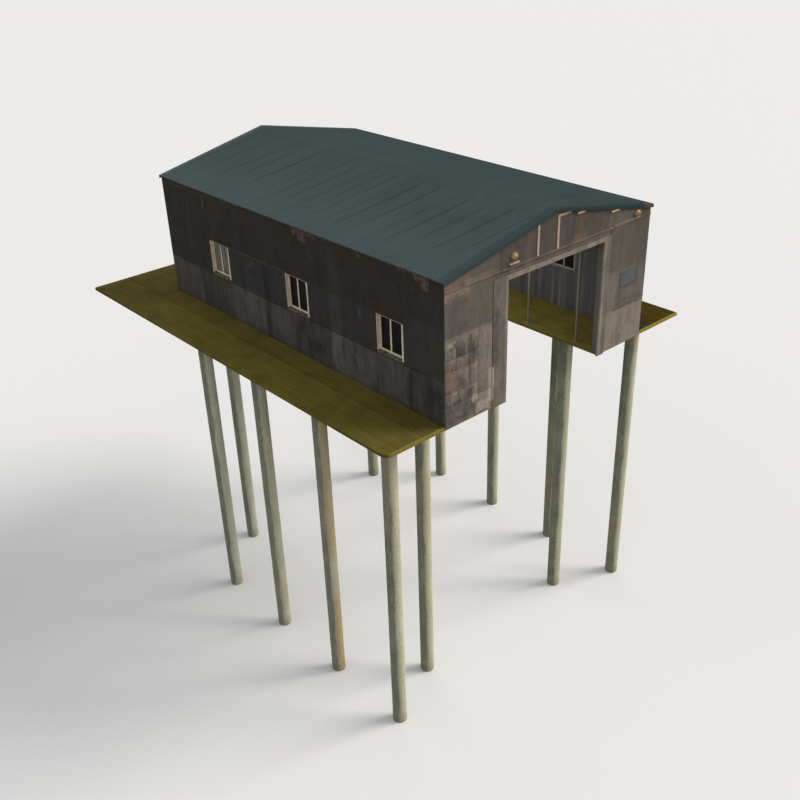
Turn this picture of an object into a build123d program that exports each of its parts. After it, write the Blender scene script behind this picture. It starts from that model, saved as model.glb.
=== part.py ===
from build123d import *
from math import atan, cos, sin, tan
import os

# A gabled masonry boathouse on a timber deck, carried by round piles.
# Millimetres, +Z up. X = 0 is the centre line of the building, Z = 0 the level of the pile feet,
# and Y = 0 the middle of the whole depth, with the boat doorway facing -Y.

# Main sizes
building_width = 8560
building_length = 13900
ridge_rise = 895
deck_level = 10800  # pile feet to the walking surface
wall_thickness = 200
outer_leaf = 100  # the part of a side wall that rises past the truss ends

# Deck
deck_thickness = 100
deck_side_reach = 2100
deck_back_reach = 2380
deck_corner_radius = 250
landing_depth = 1500  # walkway behind the slip, inside the back wall

# Boat doorway
pier_left_width = 1785
door_post_left_width = 585
door_post_right_width = 290
pier_right_width = 1820
door_height = 3570
door_head_height = 130
lintel_height = 185
eave_rise = 315  # top of the lintel to the top of the roof sheet over the wall face
post_proud = 20
post_drop = 30  # how far a door post hangs below the deck's underside
skirt_thickness = 60  # the front wall's lip in front of the deck's edge

# Windows
window_width = 1110
window_height = 1190
window_bottom = 1350
window_count = 3
left_window_first = 2140  # front face to the middle of the first window
left_window_last = 3240  # back face to the middle of the last window
right_window_first = 3110
right_window_last = 2270
frame_recess = 100
frame_depth = 80
frame_member = 60
glass_thickness = 10
sill_thickness = 60
sill_nose = 30
sill_reach = 30

# String courses
course_height = 32
course_reach = 15
course_end = 620  # bare wall left at each end of a course
ledge_height = 45
ledge_reach = 40

# Roof
sheet_thickness = 50
eave_overhang = 60
verge_overhang = 60
cap_thickness = 30
cap_half_width = 450
cap_radius = 900
flashing_thickness = 15
flashing_lip = 12
flashing_drop = 45
plate_depth = 75
tie_depth = 200
tie_width = 100
truss_end_gap = 10
rafter_depth = 150
rafter_heel = 80
king_width = 120
purlin_depth = 100
purlin_width = 75
purlin_eave_inset = 300
purlin_ridge_inset = 140
purlins_per_slope = 4
truss_count = 7
truss_end_bay = 990  # gable face to the first truss

# Posts on the slip's edge
slip_post_diameter = 80
slip_post_setback = 200

# Under the deck
joist_depth = 180
joist_width = 100
joist_first = 350
joist_pitch = 1575
joist_end_inset = 250
joist_slip_inset = 320
bearer_depth = 200
bearer_width = 200
bearer_front_inset = 620
bearer_back_inset = 300

# Piles
pile_diameter = 460
pile_foot_bevel = 40
outer_pile_offset = 1160
outer_pile_first = 1020
outer_pile_pitch = 3150
outer_pile_count = 4
inner_pile_inset = 1020
inner_pile_places = (2060, 12570)

# Fittings on the front
lamp_base_radius = 120
lamp_base_thickness = 30
lamp_dome_radius = 95
lamp_crown_radius = 55
lamp_shoulder = 75
lamp_reach = 120
lamp_left_inset = 2560  # from the left end of the front wall
lamp_right_inset = 670  # from the right end
lamp_shelf_gap = 53
lamp_conduit_gap = 8
conduit_diameter = 32
conduit_run = 70
conduit_length = 1050  # how far it runs back from the lamp along the ledge
conduit_bend = 45
batten_width = 80
batten_thickness = 25
batten_gap = 30  # top of a batten to the roof's underside
batten_left_x = -770
batten_right_x = 45
rail_end_x = 550
rail_height = 70
fixing_height = 60
roof_fixings = ((960, 300), (2510, 340))  # centre and width of each fixing under the verge
shelf_rise = 52  # ledge to the underside of the lamp's shelf
shelf_width = 370
shelf_height = 35
shelf_reach = 60
plate_inset = 830  # middle of the plate, from the right end of the front wall
plate_z = 2120
plate_width = 840
plate_height = 466
plate_thickness = 25

# Worked-out places
half_width = building_width / 2
pitch_angle = atan(ridge_rise / half_width)
sheet_drop = sheet_thickness / cos(pitch_angle)
front_reach = max(lamp_reach, verge_overhang + flashing_thickness)
front_face = -(front_reach + building_length + deck_back_reach) / 2 + front_reach
back_face = front_face + building_length
inner_front = front_face + wall_thickness
inner_back = back_face - wall_thickness
deck_back_edge = back_face + deck_back_reach
deck_side_edge = half_width + deck_side_reach
deck_underside = deck_level - deck_thickness
door_left = -half_width + pier_left_width + door_post_left_width
door_right = half_width - pier_right_width - door_post_right_width
slip_end = inner_back - landing_depth
lintel_level = deck_level + door_height + door_head_height
ledge_level = lintel_level + lintel_height
ledge_top = ledge_level + ledge_height
eave_level = ledge_level + eave_rise


def roof_top(x):
    """Height of the roof sheet's upper face at a distance x from the centre line."""
    return eave_level + (half_width - abs(x)) * tan(pitch_angle)


def roof_under(x):
    """Height of the roof sheet's lower face."""
    return roof_top(x) - sheet_drop


def rafter_top(x):
    """Height of the rafters' upper edge, one purlin below the sheet."""
    return roof_under(x) - purlin_depth / cos(pitch_angle)


def rafter_bottom(x):
    """Height of the rafters' lower edge."""
    return rafter_top(x) - rafter_depth / cos(pitch_angle)


def window_places(first, last):
    """Middles of one wall's windows, evenly spaced between the first and the last."""
    pitch = (building_length - first - last) / (window_count - 1)
    return [front_face + first + i * pitch for i in range(window_count)]


truss_end = half_width - outer_leaf - truss_end_gap
tie_top = rafter_top(truss_end) - rafter_heel
tie_bottom = tie_top - tie_depth
plate_seat = tie_bottom - plate_depth
rafter_toe = truss_end - (tie_top - rafter_bottom(truss_end)) / tan(pitch_angle)
truss_pitch = (building_length - 2 * truss_end_bay) / (truss_count - 1)
truss_places = [front_face + truss_end_bay + i * truss_pitch for i in range(truss_count)]
left_windows = window_places(left_window_first, left_window_last)
right_windows = window_places(right_window_first, right_window_last)
window_low = deck_level + window_bottom
window_high = window_low + window_height
lamp_left_x = -half_width + lamp_left_inset
lamp_left_z = ledge_top + shelf_rise + shelf_height + lamp_shelf_gap + lamp_base_radius
lamp_right_x = half_width - lamp_right_inset
lamp_right_z = ledge_top + conduit_diameter + lamp_conduit_gap + lamp_base_radius


def cross_section(back_y):
    """Plane of a profile in X and Z, from which a piece is extruded towards the front."""
    return Plane.XZ.offset(-back_y)


os.makedirs("parts", exist_ok=True)

# Piles: round timbers with bevelled feet, in two outer rows and two inner pairs
pile_top = deck_underside - joist_depth - bearer_depth
outer_pile_x = half_width + outer_pile_offset
inner_pile_x = half_width - inner_pile_inset
outer_rows = [front_face + outer_pile_first + i * outer_pile_pitch for i in range(outer_pile_count)]
inner_rows = [front_face + place for place in inner_pile_places]
pile_places = {}
for i, row in enumerate(outer_rows, 1):
    pile_places[f"pile_left_{i}"] = (-outer_pile_x, row)
    pile_places[f"pile_right_{i}"] = (outer_pile_x, row)
for i, row in enumerate(inner_rows, 1):
    pile_places[f"pile_inner_left_{i}"] = (-inner_pile_x, row)
    pile_places[f"pile_inner_right_{i}"] = (inner_pile_x, row)

for pile_name, place in pile_places.items():
    with BuildPart() as pile:
        with BuildSketch(Plane.XY):
            with Locations(place):
                Circle(pile_diameter / 2)
        extrude(amount=pile_top)
        chamfer(pile.edges().group_by(Axis.Z)[0], length=pile_foot_bevel)
    pile.part.label = pile_name
    export_step(pile.part, f"parts/{pile_name}.step")

# Bearers: one long timber on each row of piles
with BuildPart() as bearers:
    bearer_length = building_length + deck_back_reach - bearer_front_inset - bearer_back_inset
    bearer_middle = front_face + bearer_front_inset + bearer_length / 2
    with BuildSketch(Plane.XY.offset(pile_top)):
        for x in (-outer_pile_x, -inner_pile_x, inner_pile_x, outer_pile_x):
            with Locations((x, bearer_middle)):
                Rectangle(bearer_width, bearer_length)
    extrude(amount=bearer_depth)
bearers.part.label = "bearers"
export_step(bearers.part, "parts/bearers.step")

# Joists: across the bearers, in two lengths beside the slip and in one behind it
with BuildPart() as joists:
    joist_out = deck_side_edge - joist_end_inset
    slip_left_stop = door_left - joist_slip_inset
    slip_right_stop = door_right + joist_slip_inset
    joist_count = int((deck_back_edge - front_face - 2 * joist_first) // joist_pitch) + 1
    with BuildSketch(Plane.XY.offset(pile_top + bearer_depth)):
        for i in range(joist_count):
            y = front_face + joist_first + i * joist_pitch
            if y + joist_width / 2 < slip_end:
                spans = [(-joist_out, slip_left_stop), (slip_right_stop, joist_out)]
            else:
                spans = [(-joist_out, joist_out)]
            for start, stop in spans:
                with Locations(((start + stop) / 2, y)):
                    Rectangle(stop - start, joist_width)
    extrude(amount=joist_depth)
joists.part.label = "joists"
export_step(joists.part, "parts/joists.step")

# Deck: a walkway on each side of the slip, and a landing that closes it at the back
with BuildPart() as deck_left:
    with BuildSketch(Plane.XY.offset(deck_underside)) as left_plan:
        with BuildLine():
            Polyline(
                (-deck_side_edge, front_face),
                (-half_width, front_face),
                (-half_width, front_face + skirt_thickness),
                (door_left, front_face + skirt_thickness),
                (door_left, deck_back_edge),
                (-deck_side_edge, deck_back_edge),
                close=True,
            )
        make_face()
        corner = left_plan.vertices().group_by(Axis.Y)[0].sort_by(Axis.X)[0]
        fillet(corner, radius=deck_corner_radius)
    extrude(amount=deck_thickness)
deck_left.part.label = "deck_left"
export_step(deck_left.part, "parts/deck_left.step")

with BuildPart() as deck_right:
    with BuildSketch(Plane.XY.offset(deck_underside)):
        with BuildLine():
            Polyline(
                (deck_side_edge, front_face),
                (half_width, front_face),
                (half_width, front_face + skirt_thickness),
                (door_right, front_face + skirt_thickness),
                (door_right, deck_back_edge),
                (deck_side_edge, deck_back_edge),
                close=True,
            )
        make_face()
    extrude(amount=deck_thickness)
deck_right.part.label = "deck_right"
export_step(deck_right.part, "parts/deck_right.step")

with BuildPart() as deck_back:
    with BuildSketch(Plane.XY.offset(deck_underside)):
        with Locations(((door_left + door_right) / 2, (slip_end + deck_back_edge) / 2)):
            Rectangle(door_right - door_left, deck_back_edge - slip_end)
    extrude(amount=deck_thickness)
deck_back.part.label = "deck_back"
export_step(deck_back.part, "parts/deck_back.step")

# Side walls: an outer leaf up to the roof sheet and an inner leaf that seats the wall plate
with BuildPart() as left_wall:
    with BuildSketch(cross_section(inner_back)):
        with BuildLine():
            Polyline(
                (-half_width, deck_level),
                (-half_width, roof_under(half_width)),
                (-half_width + outer_leaf, roof_under(half_width - outer_leaf)),
                (-half_width + outer_leaf, plate_seat),
                (-half_width + wall_thickness, plate_seat),
                (-half_width + wall_thickness, deck_level),
                close=True,
            )
        make_face()
    extrude(amount=inner_back - inner_front)
    with BuildSketch(Plane.YZ.offset(-half_width)):
        for y in left_windows:
            with Locations((y, (window_low + window_high) / 2)):
                Rectangle(window_width, window_height)
    extrude(amount=wall_thickness, mode=Mode.SUBTRACT)
left_wall.part.label = "left_wall"
export_step(left_wall.part, "parts/left_wall.step")

with BuildPart() as right_wall:
    with BuildSketch(cross_section(inner_back)):
        with BuildLine():
            Polyline(
                (half_width, deck_level),
                (half_width, roof_under(half_width)),
                (half_width - outer_leaf, roof_under(half_width - outer_leaf)),
                (half_width - outer_leaf, plate_seat),
                (half_width - wall_thickness, plate_seat),
                (half_width - wall_thickness, deck_level),
                close=True,
            )
        make_face()
    extrude(amount=inner_back - inner_front)
    with BuildSketch(Plane.YZ.offset(half_width - wall_thickness)):
        for y in right_windows:
            with Locations((y, (window_low + window_high) / 2)):
                Rectangle(window_width, window_height)
    extrude(amount=wall_thickness, mode=Mode.SUBTRACT)
right_wall.part.label = "right_wall"
export_step(right_wall.part, "parts/right_wall.step")

# Back wall: one plain gabled leaf
with BuildPart() as back_wall:
    with BuildSketch(cross_section(back_face)):
        with BuildLine():
            Polyline(
                (-half_width, deck_level),
                (-half_width, roof_under(half_width)),
                (0, roof_under(0)),
                (half_width, roof_under(half_width)),
                (half_width, deck_level),
                close=True,
            )
        make_face()
    extrude(amount=wall_thickness)
back_wall.part.label = "back_wall"
export_step(back_wall.part, "parts/back_wall.step")

# Front wall: piers, door posts, door head, lintel and gable
with BuildPart() as front_left_pier:
    with BuildSketch(Plane.YZ.offset(-half_width)):
        with BuildLine():
            Polyline(
                (front_face, deck_underside),
                (front_face, ledge_level),
                (inner_front, ledge_level),
                (inner_front, deck_level),
                (front_face + skirt_thickness, deck_level),
                (front_face + skirt_thickness, deck_underside),
                close=True,
            )
        make_face()
    extrude(amount=pier_left_width)
front_left_pier.part.label = "front_left_pier"
export_step(front_left_pier.part, "parts/front_left_pier.step")

with BuildPart() as front_right_pier:
    with BuildSketch(Plane.YZ.offset(half_width - pier_right_width)):
        with BuildLine():
            Polyline(
                (front_face, deck_underside),
                (front_face, ledge_level),
                (inner_front, ledge_level),
                (inner_front, deck_level),
                (front_face + skirt_thickness, deck_level),
                (front_face + skirt_thickness, deck_underside),
                close=True,
            )
        make_face()
    extrude(amount=pier_right_width)
front_right_pier.part.label = "front_right_pier"
export_step(front_right_pier.part, "parts/front_right_pier.step")

door_posts = {
    "door_post_left": (door_left - door_post_left_width, door_post_left_width),
    "door_post_right": (door_right, door_post_right_width),
}
for post_name, (post_x, post_width) in door_posts.items():
    with BuildPart() as door_post:
        with BuildSketch(Plane.YZ.offset(post_x)):
            with BuildLine():
                Polyline(
                    (front_face - post_proud, deck_underside - post_drop),
                    (front_face - post_proud, deck_level + door_height),
                    (inner_front, deck_level + door_height),
                    (inner_front, deck_level),
                    (front_face + skirt_thickness, deck_level),
                    (front_face + skirt_thickness, deck_underside - post_drop),
                    close=True,
                )
            make_face()
        extrude(amount=post_width)
    door_post.part.label = post_name
    export_step(door_post.part, f"parts/{post_name}.step")

head_start = door_left - door_post_left_width
head_length = door_right + door_post_right_width - head_start
with BuildPart() as door_head:
    with BuildSketch(cross_section(inner_front)):
        with Locations((head_start + head_length / 2, lintel_level - door_head_height / 2)):
            Rectangle(head_length, door_head_height)
    extrude(amount=wall_thickness + post_proud)
door_head.part.label = "door_head"
export_step(door_head.part, "parts/door_head.step")

with BuildPart() as lintel:
    with BuildSketch(cross_section(inner_front)):
        with Locations((head_start + head_length / 2, lintel_level + lintel_height / 2)):
            Rectangle(head_length, lintel_height)
    extrude(amount=wall_thickness)
lintel.part.label = "lintel"
export_step(lintel.part, "parts/lintel.step")

with BuildPart() as front_gable:
    with BuildSketch(cross_section(inner_front)):
        with BuildLine():
            Polyline(
                (-half_width, ledge_level),
                (-half_width, roof_under(half_width)),
                (0, roof_under(0)),
                (half_width, roof_under(half_width)),
                (half_width, ledge_level),
                close=True,
            )
        make_face()
    extrude(amount=wall_thickness)
front_gable.part.label = "front_gable"
export_step(front_gable.part, "parts/front_gable.step")

# String courses: thin lines at window sill and head level, and the ledge over the doorway
with BuildPart() as string_courses:
    course_length = building_length - 2 * course_end
    course_middle = (front_face + back_face) / 2
    course_levels = (window_low - course_height / 2, window_high + course_height / 2)
    with BuildSketch(Plane.YZ.offset(-half_width - course_reach)):
        with Locations(*[(course_middle, z) for z in course_levels]):
            Rectangle(course_length, course_height)
    extrude(amount=course_reach)
    with BuildSketch(Plane.YZ.offset(half_width)):
        with Locations(*[(course_middle, z) for z in course_levels]):
            Rectangle(course_length, course_height)
    extrude(amount=course_reach)
    with BuildSketch(cross_section(back_face + course_reach)):
        with Locations(*[(0, z) for z in course_levels]):
            Rectangle(building_width - 2 * course_end, course_height)
    extrude(amount=course_reach)
    with BuildSketch(cross_section(front_face)):
        with Locations((0, ledge_level + ledge_height / 2)):
            Rectangle(building_width, ledge_height)
    extrude(amount=ledge_reach)
string_courses.part.label = "string_courses"
export_step(string_courses.part, "parts/string_courses.step")

# Windows: frames with two lights, their glass, and sloping sills
frame_height = window_height - sill_thickness
frame_middle = window_high - frame_height / 2
light_width = (window_width - 3 * frame_member) / 2
light_height = frame_height - 2 * frame_member
light_offset = (light_width + frame_member) / 2
window_sides = ((-1, left_windows), (1, right_windows))
with BuildPart() as window_frames:
    for side, places in window_sides:
        frame_outer = side * (half_width - frame_recess)
        with BuildSketch(Plane.YZ.offset(min(frame_outer, frame_outer - side * frame_depth))):
            for y in places:
                with Locations((y, frame_middle)):
                    Rectangle(window_width, frame_height)
                with Locations((y - light_offset, frame_middle), (y + light_offset, frame_middle)):
                    Rectangle(light_width, light_height, mode=Mode.SUBTRACT)
        extrude(amount=frame_depth)
window_frames.part.label = "window_frames"
export_step(window_frames.part, "parts/window_frames.step")

with BuildPart() as window_glass:
    for side, places in window_sides:
        glass_middle = side * (half_width - frame_recess - frame_depth / 2)
        with BuildSketch(Plane.YZ.offset(glass_middle - glass_thickness / 2)):
            for y in places:
                with Locations((y - light_offset, frame_middle), (y + light_offset, frame_middle)):
                    Rectangle(light_width, light_height)
        extrude(amount=glass_thickness)
window_glass.part.label = "window_glass"
export_step(window_glass.part, "parts/window_glass.step")

with BuildPart() as window_sills:
    for side, places in window_sides:
        for y in places:
            with BuildSketch(cross_section(y + window_width / 2)):
                with BuildLine():
                    Polyline(
                        (side * (half_width + sill_reach), window_low),
                        (side * (half_width + sill_reach), window_low + sill_nose),
                        (side * (half_width - frame_recess), window_low + sill_thickness),
                        (side * (half_width - frame_recess - frame_depth), window_low + sill_thickness),
                        (side * (half_width - frame_recess - frame_depth), window_low),
                        close=True,
                    )
                make_face()
            extrude(amount=window_width)
window_sills.part.label = "window_sills"
export_step(window_sills.part, "parts/window_sills.step")

# Wall plates: on the inner leaf of each side wall
with BuildPart() as wall_plates:
    plate_middle = half_width - (outer_leaf + wall_thickness) / 2
    plate_centre = plate_seat + plate_depth / 2
    with BuildSketch(cross_section(inner_back)):
        with Locations((-plate_middle, plate_centre), (plate_middle, plate_centre)):
            Rectangle(wall_thickness - outer_leaf, plate_depth)
    extrude(amount=inner_back - inner_front)
wall_plates.part.label = "wall_plates"
export_step(wall_plates.part, "parts/wall_plates.step")

# Roof trusses: tie beams on the plates, king posts between the rafters' heads
with BuildPart() as tie_beams:
    for y in truss_places:
        with BuildSketch(cross_section(y + tie_width / 2)):
            with Locations((0, (tie_bottom + tie_top) / 2)):
                Rectangle(2 * truss_end, tie_depth)
        extrude(amount=tie_width)
tie_beams.part.label = "tie_beams"
export_step(tie_beams.part, "parts/tie_beams.step")

with BuildPart() as king_posts:
    for y in truss_places:
        with BuildSketch(cross_section(y + tie_width / 2)):
            with BuildLine():
                Polyline(
                    (-king_width / 2, tie_top),
                    (-king_width / 2, rafter_top(king_width / 2)),
                    (0, rafter_top(0)),
                    (king_width / 2, rafter_top(king_width / 2)),
                    (king_width / 2, tie_top),
                    close=True,
                )
            make_face()
        extrude(amount=tie_width)
king_posts.part.label = "king_posts"
export_step(king_posts.part, "parts/king_posts.step")

with BuildPart() as rafters:
    for y in truss_places:
        for side in (-1, 1):
            with BuildSketch(cross_section(y + tie_width / 2)):
                with BuildLine():
                    Polyline(
                        (side * truss_end, tie_top),
                        (side * truss_end, rafter_top(truss_end)),
                        (side * king_width / 2, rafter_top(king_width / 2)),
                        (side * king_width / 2, rafter_bottom(king_width / 2)),
                        (side * rafter_toe, tie_top),
                        close=True,
                    )
                make_face()
            extrude(amount=tie_width)
rafters.part.label = "rafters"
export_step(rafters.part, "parts/rafters.step")

# Purlins: square to the slope, from gable to gable
with BuildPart() as purlins:
    purlin_low = half_width - purlin_eave_inset
    purlin_step = (purlin_low - purlin_ridge_inset) / (purlins_per_slope - 1)
    along = Vector(cos(pitch_angle), sin(pitch_angle)) * (purlin_width / 2)
    upward = Vector(-sin(pitch_angle), cos(pitch_angle)) * purlin_depth
    for side in (-1, 1):
        for i in range(purlins_per_slope):
            distance = purlin_low - i * purlin_step
            seat = Vector(-distance, rafter_top(distance))
            corners = [seat - along, seat + along, seat + along + upward, seat - along + upward]
            with BuildSketch(cross_section(inner_back)):
                with BuildLine():
                    Polyline(*[(-side * corner.X, corner.Y) for corner in corners], close=True)
                make_face()
            extrude(amount=inner_back - inner_front)
purlins.part.label = "purlins"
export_step(purlins.part, "parts/purlins.step")

# Posts on the slip's edge, from the walkway to the tie beams
with BuildPart() as slip_posts:
    with BuildSketch(Plane.XY.offset(deck_level)):
        for y in truss_places:
            with Locations((door_left - slip_post_setback, y), (door_right + slip_post_setback, y)):
                Circle(slip_post_diameter / 2)
    extrude(amount=tie_bottom - deck_level)
slip_posts.part.label = "slip_posts"
export_step(slip_posts.part, "parts/slip_posts.step")

# Roof: two slopes of sheet that meet at the ridge
roof_back = back_face + verge_overhang
roof_length = building_length + 2 * verge_overhang
roof_edge = half_width + eave_overhang
for roof_name, side in (("roof_left", -1), ("roof_right", 1)):
    with BuildPart() as roof_slope:
        with BuildSketch(cross_section(roof_back)):
            with BuildLine():
                Polyline(
                    (side * roof_edge, roof_under(roof_edge)),
                    (0, roof_under(0)),
                    (0, roof_top(0)),
                    (side * roof_edge, roof_top(roof_edge)),
                    close=True,
                )
            make_face()
        extrude(amount=roof_length)
    roof_slope.part.label = roof_name
    export_step(roof_slope.part, f"parts/{roof_name}.step")

# Ridge cap: a saddle with a rolled crown
with BuildPart() as ridge_cap:
    cap_drop = cap_thickness / cos(pitch_angle)
    with BuildSketch(cross_section(roof_back)) as cap_profile:
        with BuildLine():
            Polyline(
                (-cap_half_width, roof_top(cap_half_width)),
                (0, roof_top(0)),
                (cap_half_width, roof_top(cap_half_width)),
                (cap_half_width, roof_top(cap_half_width) + cap_drop),
                (0, roof_top(0) + cap_drop),
                (-cap_half_width, roof_top(cap_half_width) + cap_drop),
                close=True,
            )
        make_face()
        crown = cap_profile.vertices().sort_by(Axis.Y)[-1]
        fillet(crown, radius=cap_radius)
    extrude(amount=roof_length)
ridge_cap.part.label = "ridge_cap"
export_step(ridge_cap.part, "parts/ridge_cap.step")

# Verge flashings: a folded strip over the sheet's edge at each gable
with BuildPart() as verge_flashings:
    for flashing_back in (roof_back - roof_length, roof_back + flashing_thickness):
        with BuildSketch(cross_section(flashing_back)):
            with BuildLine():
                Polyline(
                    (-roof_edge, roof_under(roof_edge) - flashing_drop),
                    (0, roof_under(0) - flashing_drop),
                    (roof_edge, roof_under(roof_edge) - flashing_drop),
                    (roof_edge, roof_top(roof_edge) + flashing_lip),
                    (0, roof_top(0) + flashing_lip),
                    (-roof_edge, roof_top(roof_edge) + flashing_lip),
                    close=True,
                )
            make_face()
        extrude(amount=flashing_thickness)
verge_flashings.part.label = "verge_flashings"
export_step(verge_flashings.part, "parts/verge_flashings.step")

# Lamps: round bulkheads with a tapered lens
with BuildPart() as lamps:
    for x, z in ((lamp_left_x, lamp_left_z), (lamp_right_x, lamp_right_z)):
        centre = (x, front_face, z)
        with BuildSketch(Plane(origin=centre, x_dir=(1, 0, 0), z_dir=(0, 0, 1))):
            with BuildLine():
                Polyline(
                    (0, -lamp_reach),
                    (0, 0),
                    (lamp_base_radius, 0),
                    (lamp_base_radius, -lamp_base_thickness),
                    (lamp_dome_radius, -lamp_base_thickness),
                    (lamp_dome_radius, -lamp_shoulder),
                    (lamp_crown_radius, -lamp_reach),
                    close=True,
                )
            make_face()
        revolve(axis=Axis(centre, (0, 1, 0)))
lamps.part.label = "lamps"
export_step(lamps.part, "parts/lamps.step")

# Conduit: from the right lamp down to the ledge and along it
with BuildPart() as conduit:
    conduit_y = front_face - ledge_reach / 2
    conduit_low = ledge_top + conduit_diameter / 2
    conduit_start = lamp_right_x + lamp_base_radius
    with BuildLine() as conduit_line:
        FilletPolyline(
            (conduit_start, conduit_y, lamp_right_z),
            (conduit_start + conduit_run, conduit_y, lamp_right_z),
            (conduit_start + conduit_run, conduit_y, conduit_low),
            (lamp_right_x - conduit_length, conduit_y, conduit_low),
            radius=conduit_bend,
        )
    with BuildSketch(Plane(origin=(conduit_start, conduit_y, lamp_right_z), z_dir=(1, 0, 0))):
        Circle(conduit_diameter / 2)
    sweep(path=conduit_line.line)
conduit.part.label = "conduit"
export_step(conduit.part, "parts/conduit.step")

# Battens, fixings and the lamp's shelf on the gable
with BuildPart() as gable_battens:
    left_top = roof_under(batten_left_x - batten_width / 2) - batten_gap
    rail_top = roof_under(rail_end_x) - batten_gap
    with BuildSketch(cross_section(front_face)):
        with Locations((batten_left_x, (ledge_top + left_top) / 2)):
            Rectangle(batten_width, left_top - ledge_top)
        with Locations((batten_right_x, (ledge_top + rail_top) / 2)):
            Rectangle(batten_width, rail_top - ledge_top)
        with Locations(((batten_right_x + rail_end_x) / 2, rail_top - rail_height / 2)):
            Rectangle(rail_end_x - batten_right_x, rail_height)
    extrude(amount=batten_thickness)
    with BuildSketch(cross_section(front_face)):
        for x, width in roof_fixings:
            with Locations((x, roof_under(x + width / 2) - batten_gap - fixing_height / 2)):
                Rectangle(width, fixing_height)
    extrude(amount=verge_overhang)
    with BuildSketch(cross_section(front_face)):
        with Locations((lamp_left_x, ledge_top + shelf_rise + shelf_height / 2)):
            Rectangle(shelf_width, shelf_height)
    extrude(amount=shelf_reach)
gable_battens.part.label = "gable_battens"
export_step(gable_battens.part, "parts/gable_battens.step")

# Bare plate on the right pier
with BuildPart() as pier_plate:
    with BuildSketch(cross_section(front_face)):
        with Locations((half_width - plate_inset, deck_level + plate_z)):
            Rectangle(plate_width, plate_height)
    extrude(amount=plate_thickness)
pier_plate.part.label = "pier_plate"
export_step(pier_plate.part, "parts/pier_plate.step")
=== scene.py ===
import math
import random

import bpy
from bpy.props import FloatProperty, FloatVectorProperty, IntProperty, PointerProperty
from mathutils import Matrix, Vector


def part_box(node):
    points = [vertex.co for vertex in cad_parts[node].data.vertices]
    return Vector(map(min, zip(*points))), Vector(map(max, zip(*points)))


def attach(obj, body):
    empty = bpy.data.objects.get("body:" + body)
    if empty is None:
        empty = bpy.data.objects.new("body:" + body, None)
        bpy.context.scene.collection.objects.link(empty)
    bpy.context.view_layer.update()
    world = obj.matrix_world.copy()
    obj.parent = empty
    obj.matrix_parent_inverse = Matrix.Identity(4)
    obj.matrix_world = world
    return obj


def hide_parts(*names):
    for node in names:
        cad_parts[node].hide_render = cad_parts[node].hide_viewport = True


bl_info = {
    "name": "Boathouse on Piles",
    "version": (1, 0, 0),
    "blender": (4, 5, 0),
    "location": "View3D > Sidebar > Boathouse",
    "description": "Render, brickwork, boards, sheet roof and fittings of a gabled boathouse on tall piles",
    "category": "Add Mesh",
}

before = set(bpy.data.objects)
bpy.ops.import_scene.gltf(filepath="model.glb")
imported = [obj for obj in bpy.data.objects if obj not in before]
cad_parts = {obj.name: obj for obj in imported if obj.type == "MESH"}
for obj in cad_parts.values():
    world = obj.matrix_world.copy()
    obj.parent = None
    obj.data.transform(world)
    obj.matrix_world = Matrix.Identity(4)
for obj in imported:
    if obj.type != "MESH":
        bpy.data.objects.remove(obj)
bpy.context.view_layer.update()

# Places taken from the frame, in metres
LEFT_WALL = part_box("left_wall")
LEFT_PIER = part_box("front_left_pier")
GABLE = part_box("front_gable")
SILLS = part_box("window_sills")
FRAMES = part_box("window_frames")
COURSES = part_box("string_courses")
ROOF_LOW, ROOF_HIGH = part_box("roof_left")
LEFT_X = LEFT_WALL[0].x
RIGHT_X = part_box("right_wall")[1].x
FRONT_Y = LEFT_PIER[0].y
BACK_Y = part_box("back_wall")[1].y
WALL = LEFT_WALL[1].x - LEFT_X
DECK_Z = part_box("deck_left")[1].z
SKIRT_Z = LEFT_PIER[0].z
LEDGE_Z = GABLE[0].z
EAVE_Z = LEFT_WALL[1].z
GABLE_TOP = GABLE[1].z
DOOR_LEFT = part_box("door_post_left")[1].x
DOOR_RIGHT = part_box("door_post_right")[0].x
PIER_LEFT = LEFT_PIER[1].x
PIER_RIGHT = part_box("front_right_pier")[0].x
ROOF_PITCH = (GABLE_TOP - EAVE_Z) / -LEFT_X
SILL_LINE = SILLS[0].z
COURSE = SILL_LINE - COURSES[0].z
HEAD_LINE = FRAMES[1].z
FRONT = "front"
BACK = "back"
LEFT = "left"
RIGHT = "right"
# A distance beyond everything
FAR = 30.0
# Places closer than this are the same
TOUCH = 0.001


def length(name, description, default):
    """A size in metres."""
    return FloatProperty(name=name, description=description, default=default, unit="LENGTH")


def colour(name, description, default):
    """A colour, as red, green and blue."""
    return FloatVectorProperty(name=name, description=description, default=default, subtype="COLOR")


def direction(name, description, default):
    """A direction in the frame."""
    return FloatVectorProperty(name=name, description=description, default=default, subtype="DIRECTION")


def level(name, description, default):
    """A strength with no unit."""
    return FloatProperty(name=name, description=description, default=default, min=0)


class PileSettings(bpy.types.PropertyGroup):
    sides: IntProperty(name="Sides", description="Faces round a pile", default=40, min=12)
    rings: IntProperty(name="Rings", description="Rings of faces up a pile", default=90, min=10)
    hollows: length("Hollows", "Depth of the pile's broad hollows", 0.007)
    grain: length("Grain", "Depth of its weathered grain", 0.004)
    foot: length("Foot", "Width of the worn edge round the foot", 0.018)
    colour: colour("Colour", "Weathered grey-green timber", (0.290, 0.312, 0.220))
    # Colour painted as light on the side of each pile towards the key light
    bleached: colour("Bleached", "Dry, pale side of the timber", (0.610, 0.570, 0.375))


class DeckSettings(bpy.types.PropertyGroup):
    board: length("Board", "Width of a board with its gap", 0.21)
    gap: length("Gap", "Gap between boards", 0.002)
    length: length("Length", "Length of the longest board", 5.4)
    seam: length("Seam", "Wall face to the darker seam along each side", 0.76)
    colour: colour("Colour", "Olive, weathered boards", (0.162, 0.134, 0.027))
    # The front edge's colour is a painted highlight, where the edge faces the key light
    edge: colour("Edge", "Bleached front edge", (0.31, 0.235, 0.045))


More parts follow.
